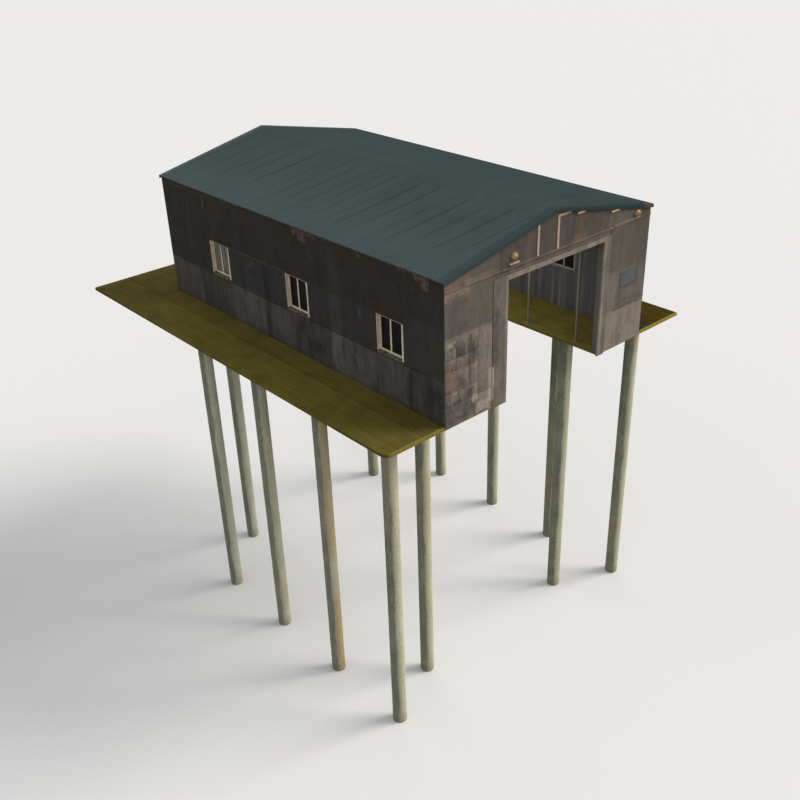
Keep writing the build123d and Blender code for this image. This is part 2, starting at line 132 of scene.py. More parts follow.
class RoofSettings(bpy.types.PropertyGroup):
    fold_rise: length("Fold rise", "Height of the strongest fold", 0.042)
    lean: length("Lean", "How far a fold leans towards the front at the ridge", 0.75)
    sheet: length("Sheet", "Thickness of the roof covering", 0.046)
    crown: length("Crown", "Radius of the rolled ridge", 0.6)
    cap_reach: length("Cap reach", "Ridge line to the edge of its cover", 0.8)
    cap_feather: length("Feather", "How much the cover thins to its edges", 0.022)
    colour: colour("Colour", "Matt teal grey sheet", (0.0588, 0.0797, 0.0835))


class WallSettings(bpy.types.PropertyGroup):
    coat: length("Coat", "Thickness of the render coat", 0.012)
    joint: length("Joint", "Joint between render panels", 0.006)
    bare_end: length("Bare end", "Wall beyond the ends of the string courses", 0.62)
    stone_top: length("Stone top", "Height of the bare stones", 13.28)
    groove: length("Groove", "Height of the joint in the right pier", 11.952)
    brick_length: length("Brick length", "Length of a brick", 0.215)
    brick_height: length("Brick height", "Height of a brick", 0.065)
    mortar: length("Mortar", "Width of a mortar joint", 0.010)
    side: colour("Side render", "Dark side render", (0.0500, 0.0447, 0.0358))
    front: colour("Front render", "Warm front render", (0.142, 0.123, 0.100))
    brick: colour("Brick", "Pinkish brick", (0.102, 0.063, 0.040))
    cream: colour("Cream", "Cream of the doorway", (0.285, 0.241, 0.194))


class WindowSettings(bpy.types.PropertyGroup):
    width: length("Width", "Width of a window", 1.11)
    pitch: length("Pitch", "Middle of one window to the next", 4.26)
    lining: length("Lining", "Thickness of a reveal's lining", 0.012)
    depth: length("Frame depth", "Depth of the window frames", 0.08)
    glass: length("Glass", "Thickness of the panes", 0.01)
    shift: length("Bar shift", "Distance of the middle bar from the window's middle", 0.09)
    stile: length("Stile", "Thickness of the lining on the front side", 0.070)
    bead: length("Bead", "Width of a glazing bead", 0.014)
    paint: colour("Paint", "Cream window paint", (0.90, 0.74, 0.55))


class FittingSettings(bpy.types.PropertyGroup):
    lamp_base: length("Lamp base", "Radius of a lamp's base", 0.12)
    bolt: length("Bolt", "Width of a bolt's head", 0.024)
    foot: length("Foot", "Half the width of a post's foot", 0.08)
    glow: level("Glow", "Strength of the lit lens", 0.12)


class StageSettings(bpy.types.PropertyGroup):
    eye: FloatVectorProperty(
        name="Eye", description="Camera's place", default=(-20.0756, -24.6053, 24.3033), subtype="TRANSLATION"
    )
    right: direction("Right", "Camera's right", (0.7462701, -0.6649336, -0.0307276))
    ahead: direction("Ahead", "Camera's view", (0.5712144, 0.6634213, -0.4833077))
    lens: FloatProperty(name="Lens", description="Focal length in millimetres", default=44.335, min=1)
    sun: direction("Sun", "Where the key light comes from", (0.69, -0.44, 0.574))
    key: level("Key", "Strength of the key light", 2.7)
    sky: level("Sky", "Strength of the sky", 0.66)
    fill: level("Fill", "Power of the light inside", 330.0)
    fill_height: length("Fill height", "Height of the light inside", 14.5)
    floor: length("Floor", "Width of the floor", 1200.0)


class BoathouseSettings(bpy.types.PropertyGroup):
    piles: PointerProperty(type=PileSettings, name="Piles", description="Round piles")
    deck: PointerProperty(type=DeckSettings, name="Deck", description="Boards of the deck")
    roof: PointerProperty(type=RoofSettings, name="Roof", description="Sheet roof")
    walls: PointerProperty(type=WallSettings, name="Walls", description="Render and brickwork")
    windows: PointerProperty(type=WindowSettings, name="Windows", description="Linings, beads and boards")
    fittings: PointerProperty(type=FittingSettings, name="Fittings", description="Lamps, bolts and feet")
    stage: PointerProperty(type=StageSettings, name="Stage", description="Floor, light and camera")


# Modelling helpers


def start():
    """Leaves nothing selected, in object mode."""
    if bpy.context.mode != "OBJECT":
        bpy.ops.object.mode_set(mode="OBJECT")
    bpy.ops.object.select_all(action="DESELECT")


def choose(piece):
    """Makes one piece the only selected and active one."""
    start()
    piece.select_set(True)
    bpy.context.view_layer.objects.active = piece


def added(operator, **settings):
    """Adds a primitive with its place in its mesh, and gives it back."""
    start()
    operator(**settings)
    bpy.ops.object.transform_apply(location=True, rotation=True, scale=True)
    return bpy.context.object


def own_copy(piece, name):
    """A copy with its own mesh."""
    made = piece.copy()
    made.data = piece.data.copy()
    made.name = name
    bpy.context.scene.collection.objects.link(made)
    return made


def joined(pieces, name):
    """One piece made of several."""
    choose(pieces[0])
    for piece in pieces:
        piece.select_set(True)
    bpy.ops.object.join()
    made = bpy.context.object
    made.name = name
    return made


def sized(x, y, z):
    """A change of size along each axis."""
    return Matrix.Diagonal((x, y, z, 1))


def spread(name, master, places, rng):
    """One piece of many copies of a master, each with its own place and tone. The master is used up."""
    copies = []
    for place in places:
        made = own_copy(master, name)
        made.data.transform(place)
        tone = made.data.attributes.new("tone", "FLOAT", "FACE")
        tone.data.foreach_set("value", [rng.random()] * len(made.data.polygons))
        copies.append(made)
    bpy.data.objects.remove(master)
    return joined(copies, name)


def modify(piece, kind, **settings):
    """Adds one modifier and applies it."""
    choose(piece)
    modifier = piece.modifiers.new(kind, kind)
    for key, value in settings.items():
        setattr(modifier, key, value)
    bpy.ops.object.modifier_apply(modifier=modifier.name)


def ease(piece, width, segments=1):
    """Eases a piece's sharp edges."""
    modify(piece, "BEVEL", width=width, segments=segments, limit_method="ANGLE", angle_limit=math.radians(40))


def roughen(piece, name, scale, depth, middle, **settings):
    """Pushes a surface in and out by a cloudy texture."""
    texture = bpy.data.textures.new(name, "CLOUDS")
    texture.noise_scale = scale
    texture.noise_depth = 3
    settings.update(texture=texture, strength=depth, mid_level=middle, texture_coords="LOCAL")
    modify(piece, "DISPLACE", **settings)


def carve(piece, tool, operation="DIFFERENCE", use_self=True):
    """Cuts a piece with a closed tool, which is used up."""
    modify(piece, "BOOLEAN", operation=operation, solver="EXACT", use_self=use_self, object=tool)
    bpy.data.objects.remove(tool)


def boxes(name, corners, rng, easing=0.0):
    """One piece of many boxes, each between two corners."""
    places = []
    for first, second in corners:
        low = Vector(map(min, first, second))
        high = Vector(map(max, first, second))
        places.append(Matrix.Translation((low + high) / 2) @ sized(*(high - low)))
    piece = spread(name, added(bpy.ops.mesh.primitive_cube_add, size=1), places, rng)
    if easing:
        ease(piece, easing)
    return piece


def smooth(piece, degrees=35):
    """Smooths a piece except at its sharper edges."""
    choose(piece)
    bpy.ops.object.shade_smooth_by_angle(angle=math.radians(degrees))


def edit(piece, operator, **settings):
    """Runs one edit-mode operator on a whole piece."""
    choose(piece)
    bpy.ops.object.mode_set(mode="EDIT")
    bpy.ops.mesh.select_all(action="SELECT")
    operator(**settings)
    bpy.ops.object.mode_set(mode="OBJECT")


def cut_off(piece, point, normal):
    """Cuts off what lies beyond a plane, and closes the cut."""
    edit(piece, bpy.ops.mesh.bisect, plane_co=point, plane_no=normal, use_fill=True, clear_outer=True)


def weld(piece):
    """Merges a piece's doubled vertices."""
    edit(piece, bpy.ops.mesh.remove_doubles, threshold=0.0002)


def outward(piece):
    """Turns a piece's faces outward."""
    edit(piece, bpy.ops.mesh.normals_make_consistent, inside=False)


def near(value, target):
    """Whether two places are the same."""
    return abs(value - target) < TOUCH


def move(piece, step, test):
    """Moves the vertices whose place passes a test, and leaves them marked."""
    choose(piece)
    bpy.ops.object.mode_set(mode="EDIT")
    bpy.ops.mesh.select_mode(type="VERT")
    bpy.ops.mesh.select_all(action="DESELECT")
    bpy.ops.object.mode_set(mode="OBJECT")
    for vertex in piece.data.vertices:
        vertex.select = test(vertex.co)
    bpy.ops.object.mode_set(mode="EDIT")
    bpy.ops.transform.translate(value=step)
    bpy.ops.object.mode_set(mode="OBJECT")


def on_face(face, along, out, z):
    """A point on one face of the building: along it, out from it, and up."""
    return {
        FRONT: (along, FRONT_Y - out, z),
        BACK: (along, BACK_Y + out, z),
        LEFT: (LEFT_X - out, along, z),
        RIGHT: (RIGHT_X + out, along, z),
    }[face]


def slab(face, along, heights, out, sunk=0.004):
    """The corners of a flat box on one face, let a little way into the wall."""
    return on_face(face, along[0], -sunk, heights[0]), on_face(face, along[1], out, heights[1])


def settle(piece, slot, finish, *nodes):
    """Hands a finished piece over: its finish, what it rides on and what it stands for. Its slot is not used.
    """
    piece.data.materials.clear()
    piece.data.materials.append(bpy.data.materials["finish_" + finish])
    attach(piece, "root")
    if nodes:
        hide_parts(*nodes)


# Shading helpers


def feed(tree, socket, value):
    """Links an output to a socket, or writes a value there."""
    if isinstance(value, bpy.types.NodeSocket):
        tree.links.new(value, socket)
    else:
        socket.default_value = value


def add(tree, kind, feeds=(), **settings):
    """Adds a shader node, sets it, feeds its sockets and gives its outputs back."""
    node = tree.nodes.new("ShaderNode" + kind)
    for key, value in settings.items():
        setattr(node, key, value)
    for key, value in dict(feeds).items():
        feed(tree, node.inputs[key], value)
    return node.outputs


def reckon(tree, operation, first, second=0.0):
    """Does one sum with numbers."""
    return add(tree, "Math", {0: first, 1: second}, operation=operation)[0]


def reckon_all(tree, operation, *vectors):
    """Does one sum with vectors."""
    return add(tree, "VectorMath", enumerate(vectors), operation=operation)[0]


def open_effect(name, inputs):
    """Starts a shared effect with a place, more named inputs and one Mask output."""
    tree = bpy.data.node_groups.new(name, "ShaderNodeTree")
    for label, default in {"Vector": (0, 0, 0), **inputs}.items():
        kind = "Vector" if isinstance(default, tuple) else "Float"
        socket = tree.interface.new_socket(label, in_out="INPUT", socket_type="NodeSocket" + kind)
        socket.default_value = default
    tree.interface.new_socket("Mask", in_out="OUTPUT", socket_type="NodeSocketFloat")
    given = tree.nodes.new("NodeGroupInput").outputs
    return tree, given, tree.nodes.new("NodeGroupOutput").inputs["Mask"]


def make_stain_effect():
    """Cloudy stains, drawn out along an axis by the scale."""
    inputs = {"Scale": (1, 1, 1), "Offset": (0, 0, 0), "Level": 0.5, "Spread": 0.1, "Ragged": 0.0}
    tree, given, mask = open_effect("Stain", inputs)
    place = reckon_all(tree, "MULTIPLY_ADD", given["Vector"], given["Scale"], given["Offset"])
    settings = {"Vector": place, "Scale": 1.0, "Detail": 5.0, "Roughness": 0.6, "Distortion": given["Ragged"]}
    noise = add(tree, "TexNoise", settings)[0]
    low = reckon(tree, "SUBTRACT", given["Level"], given["Spread"])
    high = reckon(tree, "ADD", given["Level"], given["Spread"])
    ends = {"Value": noise, "From Min": low, "From Max": high}
    feed(tree, mask, add(tree, "MapRange", ends, interpolation_type="SMOOTHSTEP")[0])


def make_area_effect():
    """A box with soft, ragged sides."""
    inputs = {"Low": (0, 0, 0), "High": (1, 1, 1), "Softness": (1, 1, 1), "Ragged": (0, 0, 0), "Grain": 4.0}
    tree, given, mask = open_effect("Area", inputs)
    noise = add(tree, "TexNoise", {"Vector": given["Vector"], "Scale": given["Grain"], "Detail": 3.0})
    centred = reckon_all(tree, "SUBTRACT", noise["Color"], (0.5, 0.5, 0.5))
    place = reckon_all(tree, "MULTIPLY_ADD", centred, given["Ragged"], given["Vector"])
    sides = []
    for side in ("Low", "High"):
        inner = reckon_all(tree, "SUBTRACT", given[side], given["Softness"])
        outer = reckon_all(tree, "ADD", given[side], given["Softness"])
        first, last = (inner, outer) if side == "Low" else (outer, inner)
        ends = {6: place, 7: first, 8: last, 9: (0, 0, 0), 10: (1, 1, 1)}
        ranged = add(tree, "MapRange", ends, data_type="FLOAT_VECTOR", interpolation_type="SMOOTHSTEP")
        sides.append(ranged[1])
    parts = add(tree, "SeparateXYZ", {0: reckon_all(tree, "MULTIPLY", *sides)})
    feed(tree, mask, reckon(tree, "MULTIPLY", reckon(tree, "MULTIPLY", parts[0], parts[1]), parts[2]))


def make_crack_effect():
    """Thin broken cracks between cells."""
    inputs = {"Scale": (1, 1, 1), "Width": 0.02, "Level": 0.5}
    tree, given, mask = open_effect("Crack", inputs)
    place = reckon_all(tree, "MULTIPLY", given["Vector"], given["Scale"])
    bend = add(tree, "TexNoise", {"Vector": place, "Scale": 2.0, "Detail": 4.0})["Color"]
    bent = reckon_all(tree, "MULTIPLY_ADD", bend, (0.35, 0.35, 0.35), place)
    cells = add(tree, "TexVoronoi", {"Vector": bent, "Scale": 1.0}, feature="DISTANCE_TO_EDGE")[0]
    line = add(tree, "MapRange", {"Value": cells, "From Min": given["Width"], "From Max": 0.0})[0]
    breaks = add(tree, "TexNoise", {"Vector": place, "Scale": 0.7, "Detail": 2.0})[0]
    kept = reckon(tree, "GREATER_THAN", breaks, given["Level"])
    feed(tree, mask, reckon(tree, "MULTIPLY", line, kept))


def triple(value):
    """Three numbers, from three or from one."""
    return value if hasattr(value, "__len__") else (value, value, value)


def scaled(values, amount):
    """A colour or a scale, times an amount."""
    return tuple(part * amount for part in values)


class Finish:
    """A material in the making: its layers change the colour, the roughness and the relief in turn."""

    def __init__(self, name, colour, roughness, specular=0.2):
        material = bpy.data.materials.new("finish_" + name)
        material.use_nodes = True
        self.tree = material.node_tree
        self.sockets = self.tree.nodes["Principled BSDF"].inputs
        self.sockets["Specular IOR Level"].default_value = specular
        self.here = add(self.tree, "TexCoord")["Object"]
        self.colour = (*colour, 1)
        self.rough = roughness
        self.height = 0.0

    def effect(self, name, **values):
        node = self.tree.nodes.new("ShaderNodeGroup")
        node.node_tree = bpy.data.node_groups[name]
        for key, value in {"Vector": self.here, **values}.items():
            feed(self.tree, node.inputs[key], value)
        return node.outputs["Mask"]

    def stain(self, scale, level, spread, offset=(0, 0, 0), ragged=0.0):
        """A mask of cloudy stains."""
        scale = triple(scale)
        return self.effect("Stain", Scale=scale, Level=level, Spread=spread, Offset=offset, Ragged=ragged)

    def area(self, low, high, soft, ragged=0.0, grain=4.0):
        """A mask of a box between two corners."""
        soft, ragged = triple(soft), triple(ragged)
        return self.effect("Area", Low=low, High=high, Softness=soft, Ragged=ragged, Grain=grain)

    def along(self, span, *edges):
        """An area through the whole building: two places along it and two heights."""
        return self.area((-FAR, span[0], span[2]), (FAR, span[1], span[3]), *edges)

    def front(self, span, *edges):
        """An area on the front wall's outer skin: two places across it and two heights."""
        return self.area((span[0], FRONT_Y - 0.2, span[2]), (span[1], FRONT_Y + 0.02, span[3]), *edges)

    def crack(self, scale, width, level):
        """A mask of thin cracks."""
        return self.effect("Crack", Scale=triple(scale), Width=width, Level=level)

    def attribute(self, name):
        """A mask that the mesh carries."""
        return add(self.tree, "Attribute", attribute_name=name)["Fac"]

    def times(self, first, second):
        return reckon(self.tree, "MULTIPLY", first, second)

    def paint(self, mask, colour, strength=1.0, blend="MIX"):
        """Lays a colour over what is there, as far as the mask says."""
        feeds = {0: self.times(mask, strength), 6: self.colour, 7: (*colour, 1)}
        self.colour = add(self.tree, "Mix", feeds, data_type="RGBA", blend_type=blend)[2]

    def shade(self, mask, amount):
        """Darkens or lightens what is there by up to an amount."""
        self.paint(mask, triple(amount), 1.0, "MULTIPLY")

    def mottle(self, colour, strength, *stain, within=None):
        """Paints stains of a scale, level, spread, offset and raggedness, perhaps only within a mask."""
        mask = self.stain(*stain)
        self.paint(self.times(mask, within) if within else mask, colour, strength)

    def cloud(self, amount, *stain):
        """Darkens or lightens stains of a scale, level, spread, offset and raggedness."""
        self.shade(self.stain(*stain), amount)

    def gloss(self, mask, roughness):
        """Moves the roughness towards a value as far as the mask says."""
        self.rough = add(self.tree, "Mix", {0: mask, 2: self.rough, 3: roughness})[0]

    def relief(self, mask, metres):
        """Adds to the relief, in metres."""
        self.height = reckon(self.tree, "ADD", self.height, self.times(mask, metres))

    def grain(self, scale, spread, amount, metres):
        """Shades a grain, raises it in the relief and gives its mask back."""
        mask = self.stain(scale, 0.5, spread)
        self.shade(mask, amount)
        self.relief(mask, metres)
        return mask

    def done(self):
        feed(self.tree, self.sockets["Base Color"], self.colour)
        feed(self.tree, self.sockets["Roughness"], self.rough)
        if self.height:
            bump = add(self.tree, "Bump", {"Height": self.height, "Distance": 1.0, "Strength": 1.0})
            feed(self.tree, self.sockets["Normal"], bump[0])


# Finishes


def float_marks(finish):
    """Broad waves and fine sand in the relief of a render."""
    finish.relief(finish.stain(3.5, 0.5, 0.3), 0.0015)
    finish.relief(finish.stain(90, 0.5, 0.4), 0.0006)


def make_side_render(walls):
    finish = Finish("side_render", walls.side, 0.95)
    half = WALL / 2
    inside = finish.area((LEFT_X + half, FRONT_Y + half, 0), (RIGHT_X - half, BACK_Y - half, FAR), 0.001)
    lower = finish.along((-FAR, FAR, 0, SILL_LINE), (0.1, 0.1, 0.05), (0, 0, 0.06))
    band = finish.along((-5.35, 2.0, SILL_LINE, HEAD_LINE), (0.1, 0.15, 0.03))
    # Broad tones: a grey band between the window lines and a paler wall below it
    finish.cloud(0.86, (0.45, 0.45, 0.5), 0.5, 0.22)
    finish.paint(band, (0.0655, 0.0615, 0.0595), 0.85)
    finish.paint(lower, (0.1290, 0.1200, 0.1060), 0.88)
    finish.shade(finish.along((-FAR, -6.9, SILL_LINE, FAR), (0.1, 0.9, 0.3)), 1.15)
    # Older and newer stretches of the render, and dark lines at some joints
    for *span, amount in (
        (4.0, FAR, 0, SILL_LINE, 0.98),
        (2.1, 3.95, 0, SILL_LINE, 0.60),
        (0.15, 2.0, 0, SILL_LINE, 1.26),
        (-1.35, -0.25, 0, SILL_LINE, 1.08),
        (-3.25, -1.45, 0, SILL_LINE, 0.68),
        (-5.30, -3.30, 0, SILL_LINE, 1.28),
        (-6.66, -5.36, 0, SILL_LINE, 1.12),
        (-FAR, -6.72, 0, SILL_LINE, 0.62),
        (-3.78, -3.30, DECK_Z, FAR, 1.42),
        (-FAR, -6.50, SILL_LINE, HEAD_LINE + 0.3, 1.35),
        (3.0, FAR, HEAD_LINE, FAR, 0.84),
        (-0.20, 0.10, DECK_Z, HEAD_LINE - 0.1, 0.48),
        (-5.36, -5.31, DECK_Z, SILL_LINE, 0.55),
        (-6.78, -6.72, DECK_Z, SILL_LINE - 0.2, 0.55),
    ):
        finish.shade(finish.along(span, (0.1, 0.07, 0.05), (0, 0.16, 0.05), 3.0), amount)
    # Warm and cool clouds, and soft runs of rain
    finish.cloud(0.84, (1.6, 1.6, 1.3), 0.5, 0.2, (1, 5, 8), 0.3)
    finish.mottle((0.062, 0.054, 0.040), 0.32, (2.6, 2.6, 2.0), 0.54, 0.12, (6, 2, 2), 0.2)
    finish.mottle((0.058, 0.061, 0.068), 0.30, (2.2, 2.2, 1.0), 0.56, 0.12, (3, 7, 1), 0.2)
    finish.cloud(0.88, (2.6, 2.6, 0.50), 0.5, 0.24, (7, 3, 1))
    finish.cloud(0.86, (4.5, 4.5, 3.6), 0.52, 0.16, (2, 2, 7), 0.4)
    finish.mottle((0.180, 0.166, 0.145), 0.32, (3.6, 3.6, 0.9), 0.54, 0.16, within=lower)
    both = reckon(finish.tree, "ADD", band, lower)
    finish.mottle((0.036, 0.035, 0.037), 0.42, (2.8, 2.8, 0.7), 0.57, 0.12, (3, 9, 2), within=both)
    # Brown smear and a rusty line under the eave, and a darker band at the foot by the deck
    for *span, soft_y, soft_z, ragged, grain, tint, strength in (
        (-FAR, FAR, EAVE_Z - 0.34, FAR, 0.1, 0.14, 0.5, 1.4, (0.050, 0.034, 0.020), 0.5),
        (1.8, 5.6, EAVE_Z - 0.16, EAVE_Z - 0.11, 0.3, 0.02, 0.03, 3.0, (0.105, 0.066, 0.040), 0.6),
        (-FAR, FAR, 0, DECK_Z + 0.12, 0.1, 0.12, 0.4, 2.0, (0.040, 0.038, 0.030), 0.5),
    ):
        finish.paint(finish.along(span, (0.1, soft_y, soft_z), (0, 0, ragged), grain), tint, strength)
    # Dark blotches low on the wall, and pale splashes left by repairs
    for y, z, wide, tall in ((-1.75, 11.7, 0.22, 0.22), (-2.5, 11.3, 0.45, 0.20), (-6.72, 11.5, 0.10, 0.45),
                             (-7.7, 11.6, 0.30, 0.28), (1.3, 12.5, 0.10, 0.55), (-4.35, 11.6, 0.07, 0.45)):
        span = (y - wide, y + wide, z - tall, z + tall)
        finish.paint(finish.along(span, (0.1, 0.10, 0.14), (0, 0.3, 0.3), 3.5), (0.028, 0.027, 0.028), 0.55)
    for y, z, tall in ((0.69, 13.14, 0.10), (-4.67, 13.12, 0.13), (3.30, 14.57, 0.16), (0.86, 13.05, 0.07)):
        span = (y - 0.05, y + 0.05, z - tall, z + tall)
        finish.paint(finish.along(span, (0.1, 0.04, 0.06), (0, 0.12, 0.1), 9.0), (0.12, 0.125, 0.12), 0.6)
    finish.grain(22, 0.22, 0.80, 0.0012)
    finish.cloud(0.86, (55, 55, 70), 0.5, 0.2, (3, 1, 2))
    # The walls indoors, with streaks
    finish.paint(inside, (0.110, 0.108, 0.104), 0.85)
    finish.mottle((0.062, 0.058, 0.055), 0.8, (3.2, 3.2, 0.16), 0.5, 0.14, (5, 1, 3), within=inside)
    finish.mottle((0.20, 0.20, 0.21), 0.5, (7, 7, 0.2), 0.62, 0.08, (2, 6, 1), within=inside)
    crack = finish.crack(0.9, 0.006, 0.56)
    finish.shade(crack, 0.62)
    finish.relief(crack, -0.002)
    float_marks(finish)
    finish.done()


def make_front_render(walls):
    finish = Finish("front_render", walls.front, 0.95)
    finish.cloud(0.86, (0.7, 0.7, 0.5), 0.5, 0.2)
    gable = LEDGE_Z + 0.04
    for *span, soft, ragged, tint, strength in (
        # The gable is browner, the lintel and the lower part of the right pier paler, the left panel greyer
        (-FAR, FAR, gable, FAR, 0.02, 0.0, (0.082, 0.069, 0.056), 0.9),
        (-FAR, -2.2, gable, FAR, 0.10, 0.0, (0.160, 0.134, 0.102), 0.85),
        (-1.95, -0.90, gable, FAR, 0.12, 0.1, (0.112, 0.089, 0.068), 0.8),
        (PIER_LEFT - 0.1, PIER_RIGHT + 0.1, 14.37, LEDGE_Z, 0.005, 0.0, (0.156, 0.127, 0.100), 0.9),
        (-FAR, FAR, LEDGE_Z - 0.02, LEDGE_Z + 0.06, 0.01, 0.02, (0.225, 0.165, 0.122), 0.6),
        (PIER_RIGHT, FAR, 11.95, 13.25, 0.03, 0.0, (0.178, 0.155, 0.130), 0.8),
        (PIER_RIGHT, 2.98, 11.95, 13.30, 0.08, 0.1, (0.225, 0.198, 0.170), 0.7),
        (PIER_RIGHT, FAR, 13.25, LEDGE_Z, 0.30, 0.3, (0.114, 0.098, 0.081), 0.8),
        (PIER_RIGHT, FAR, 0, 11.98, 0.06, 0.2, (0.365, 0.314, 0.259), 0.85),
        (-4.3, -2.62, 13.38, 14.34, 0.08, 0.15, (0.137, 0.122, 0.105), 0.8),
        (-4.4, -3.40, 14.38, 15.05, 0.10, 0.22, (0.250, 0.165, 0.122), 0.66),
        (-3.5, -2.35, LEDGE_Z + 0.03, 14.84, 0.05, 0.08, (0.250, 0.195, 0.152), 0.65),
        (-4.3, -2.53, 13.24, 13.38, 0.03, 0.10, (0.278, 0.234, 0.188), 0.85),
        # Dirt round the plate, along the foot of the darker part and beside it
        (2.95, 3.88, 12.58, 12.70, 0.06, 0.12, (0.075, 0.068, 0.062), 0.6),
        (2.86, 3.12, 12.05, 12.60, 0.07, 0.16, (0.088, 0.078, 0.068), 0.6),
        (3.20, 3.90, 12.15, 12.30, 0.06, 0.20, (0.105, 0.092, 0.079), 0.5),
        (2.80, 3.98, 11.97, 12.03, 0.02, 0.04, (0.052, 0.047, 0.042), 0.7),
        # Rust under the fixing on the gable, the dark strips beside it and the stain at the right end
        (0.93, 1.10, LEDGE_Z + 0.08, FAR, 0.07, 0.10, (0.165, 0.092, 0.052), 0.6),
        (0.70, 1.30, LEDGE_Z, LEDGE_Z + 0.2, 0.10, 0.15, (0.270, 0.150, 0.085), 0.5),
        (0.38, 0.52, LEDGE_Z + 0.15, FAR, 0.05, 0.03, (0.048, 0.050, 0.053), 0.55),
        (0.62, 0.76, LEDGE_Z + 0.15, FAR, 0.03, 0.03, (0.045, 0.048, 0.052), 0.75),
        (3.95, 4.3, 14.45, FAR, 0.14, 0.20, (0.190, 0.110, 0.060), 0.65),
        (-2.27, -2.16, LEDGE_Z - 0.1, FAR, 0.02, 0.03, (0.060, 0.054, 0.048), 0.6),
    ):
        finish.paint(finish.front(span, (soft, 0.1, soft), (ragged, 0, ragged)), tint, strength)
    finish.shade(finish.front((2.3, 3.9, gable, FAR), (0.05, 0.1, 0.1)), 1.6)
    # Soft runs of rain, lighter and darker
    finish.cloud(1.16, (2.4, 2.4, 0.5), 0.5, 0.2, (2, 4, 6))
    finish.mottle((0.064, 0.058, 0.052), 0.38, (4.4, 4.4, 0.7), 0.56, 0.12, (4, 2, 7))
    finish.mottle((0.066, 0.058, 0.050), 0.36, (2.0, 2.0, 1.6), 0.58, 0.12, (8, 1, 2), 0.3)
    # The courses on the other sides: painted dark under the sills as their shadow, hardly to be seen at the
    # window heads
    behind = FRONT_Y + 0.05
    finish.paint(finish.along((behind, FAR, 0, FAR), 0.02), (0.048, 0.044, 0.038))
    for *span, soft, tint, strength in (
        (behind, 1.2, 0, SILL_LINE + 0.02, (0.02, 0.1, 0.01), (0.014, 0.013, 0.012), 0.9),
        (-1.1, 2.0, HEAD_LINE - 0.01, FAR, (0.02, 0.2, 0.002), (0.095, 0.089, 0.083), 0.8),
    ):
        finish.paint(finish.along(span, soft), tint, strength)
    finish.paint(finish.front((-FAR, FAR, 0, SKIRT_Z + 0.03), 0.01), (0.30, 0.22, 0.08), 0.85)
    finish.grain(24, 0.25, 0.84, 0.0012)
    finish.cloud(0.9, 70, 0.5, 0.2, (3, 1, 2))
    finish.shade(finish.crack(1.1, 0.006, 0.55), 0.68)
    float_marks(finish)
    finish.done()


def make_brick(walls):
    finish = Finish("brick", walls.brick, 0.9)
    finish.paint(finish.attribute("tone"), (0.085, 0.058, 0.044), 0.4)
    finish.mottle((0.20, 0.15, 0.12), 0.5, 7, 0.56, 0.08)
    finish.mottle((0.058, 0.050, 0.044), 0.6, 2.2, 0.55, 0.1, (5, 5, 5))
    finish.paint(finish.front((-FAR, FAR, 0, FAR), 0.001), (0.215, 0.158, 0.125), 0.75)
    finish.shade(finish.along((-FAR, -6.8, 0, FAR), 0.05), 1.45)
    finish.grain(60, 0.3, 0.8, 0.001)
    finish.done()


def make_mortar():
    finish = Finish("mortar", (0.085, 0.072, 0.060), 0.95)
    finish.paint(finish.front((-FAR, FAR, 0, FAR), 0.001), (0.235, 0.178, 0.142), 0.9)
    finish.cloud(0.75, 3.0, 0.5, 0.15)
    finish.grain(70, 0.3, 0.8, 0.0015)
    finish.done()


# Bed joints between the stones, the upright joints in each course, and where the stone by the doorway begins
STONE_LINES = (11.36, 11.76, 12.40, 12.74)
STONE_UPRIGHTS = ((-3.18,), (-3.80,), (-3.38,), (-3.38,), (-3.86, -3.36))
STONE_PLAIN = -3.06


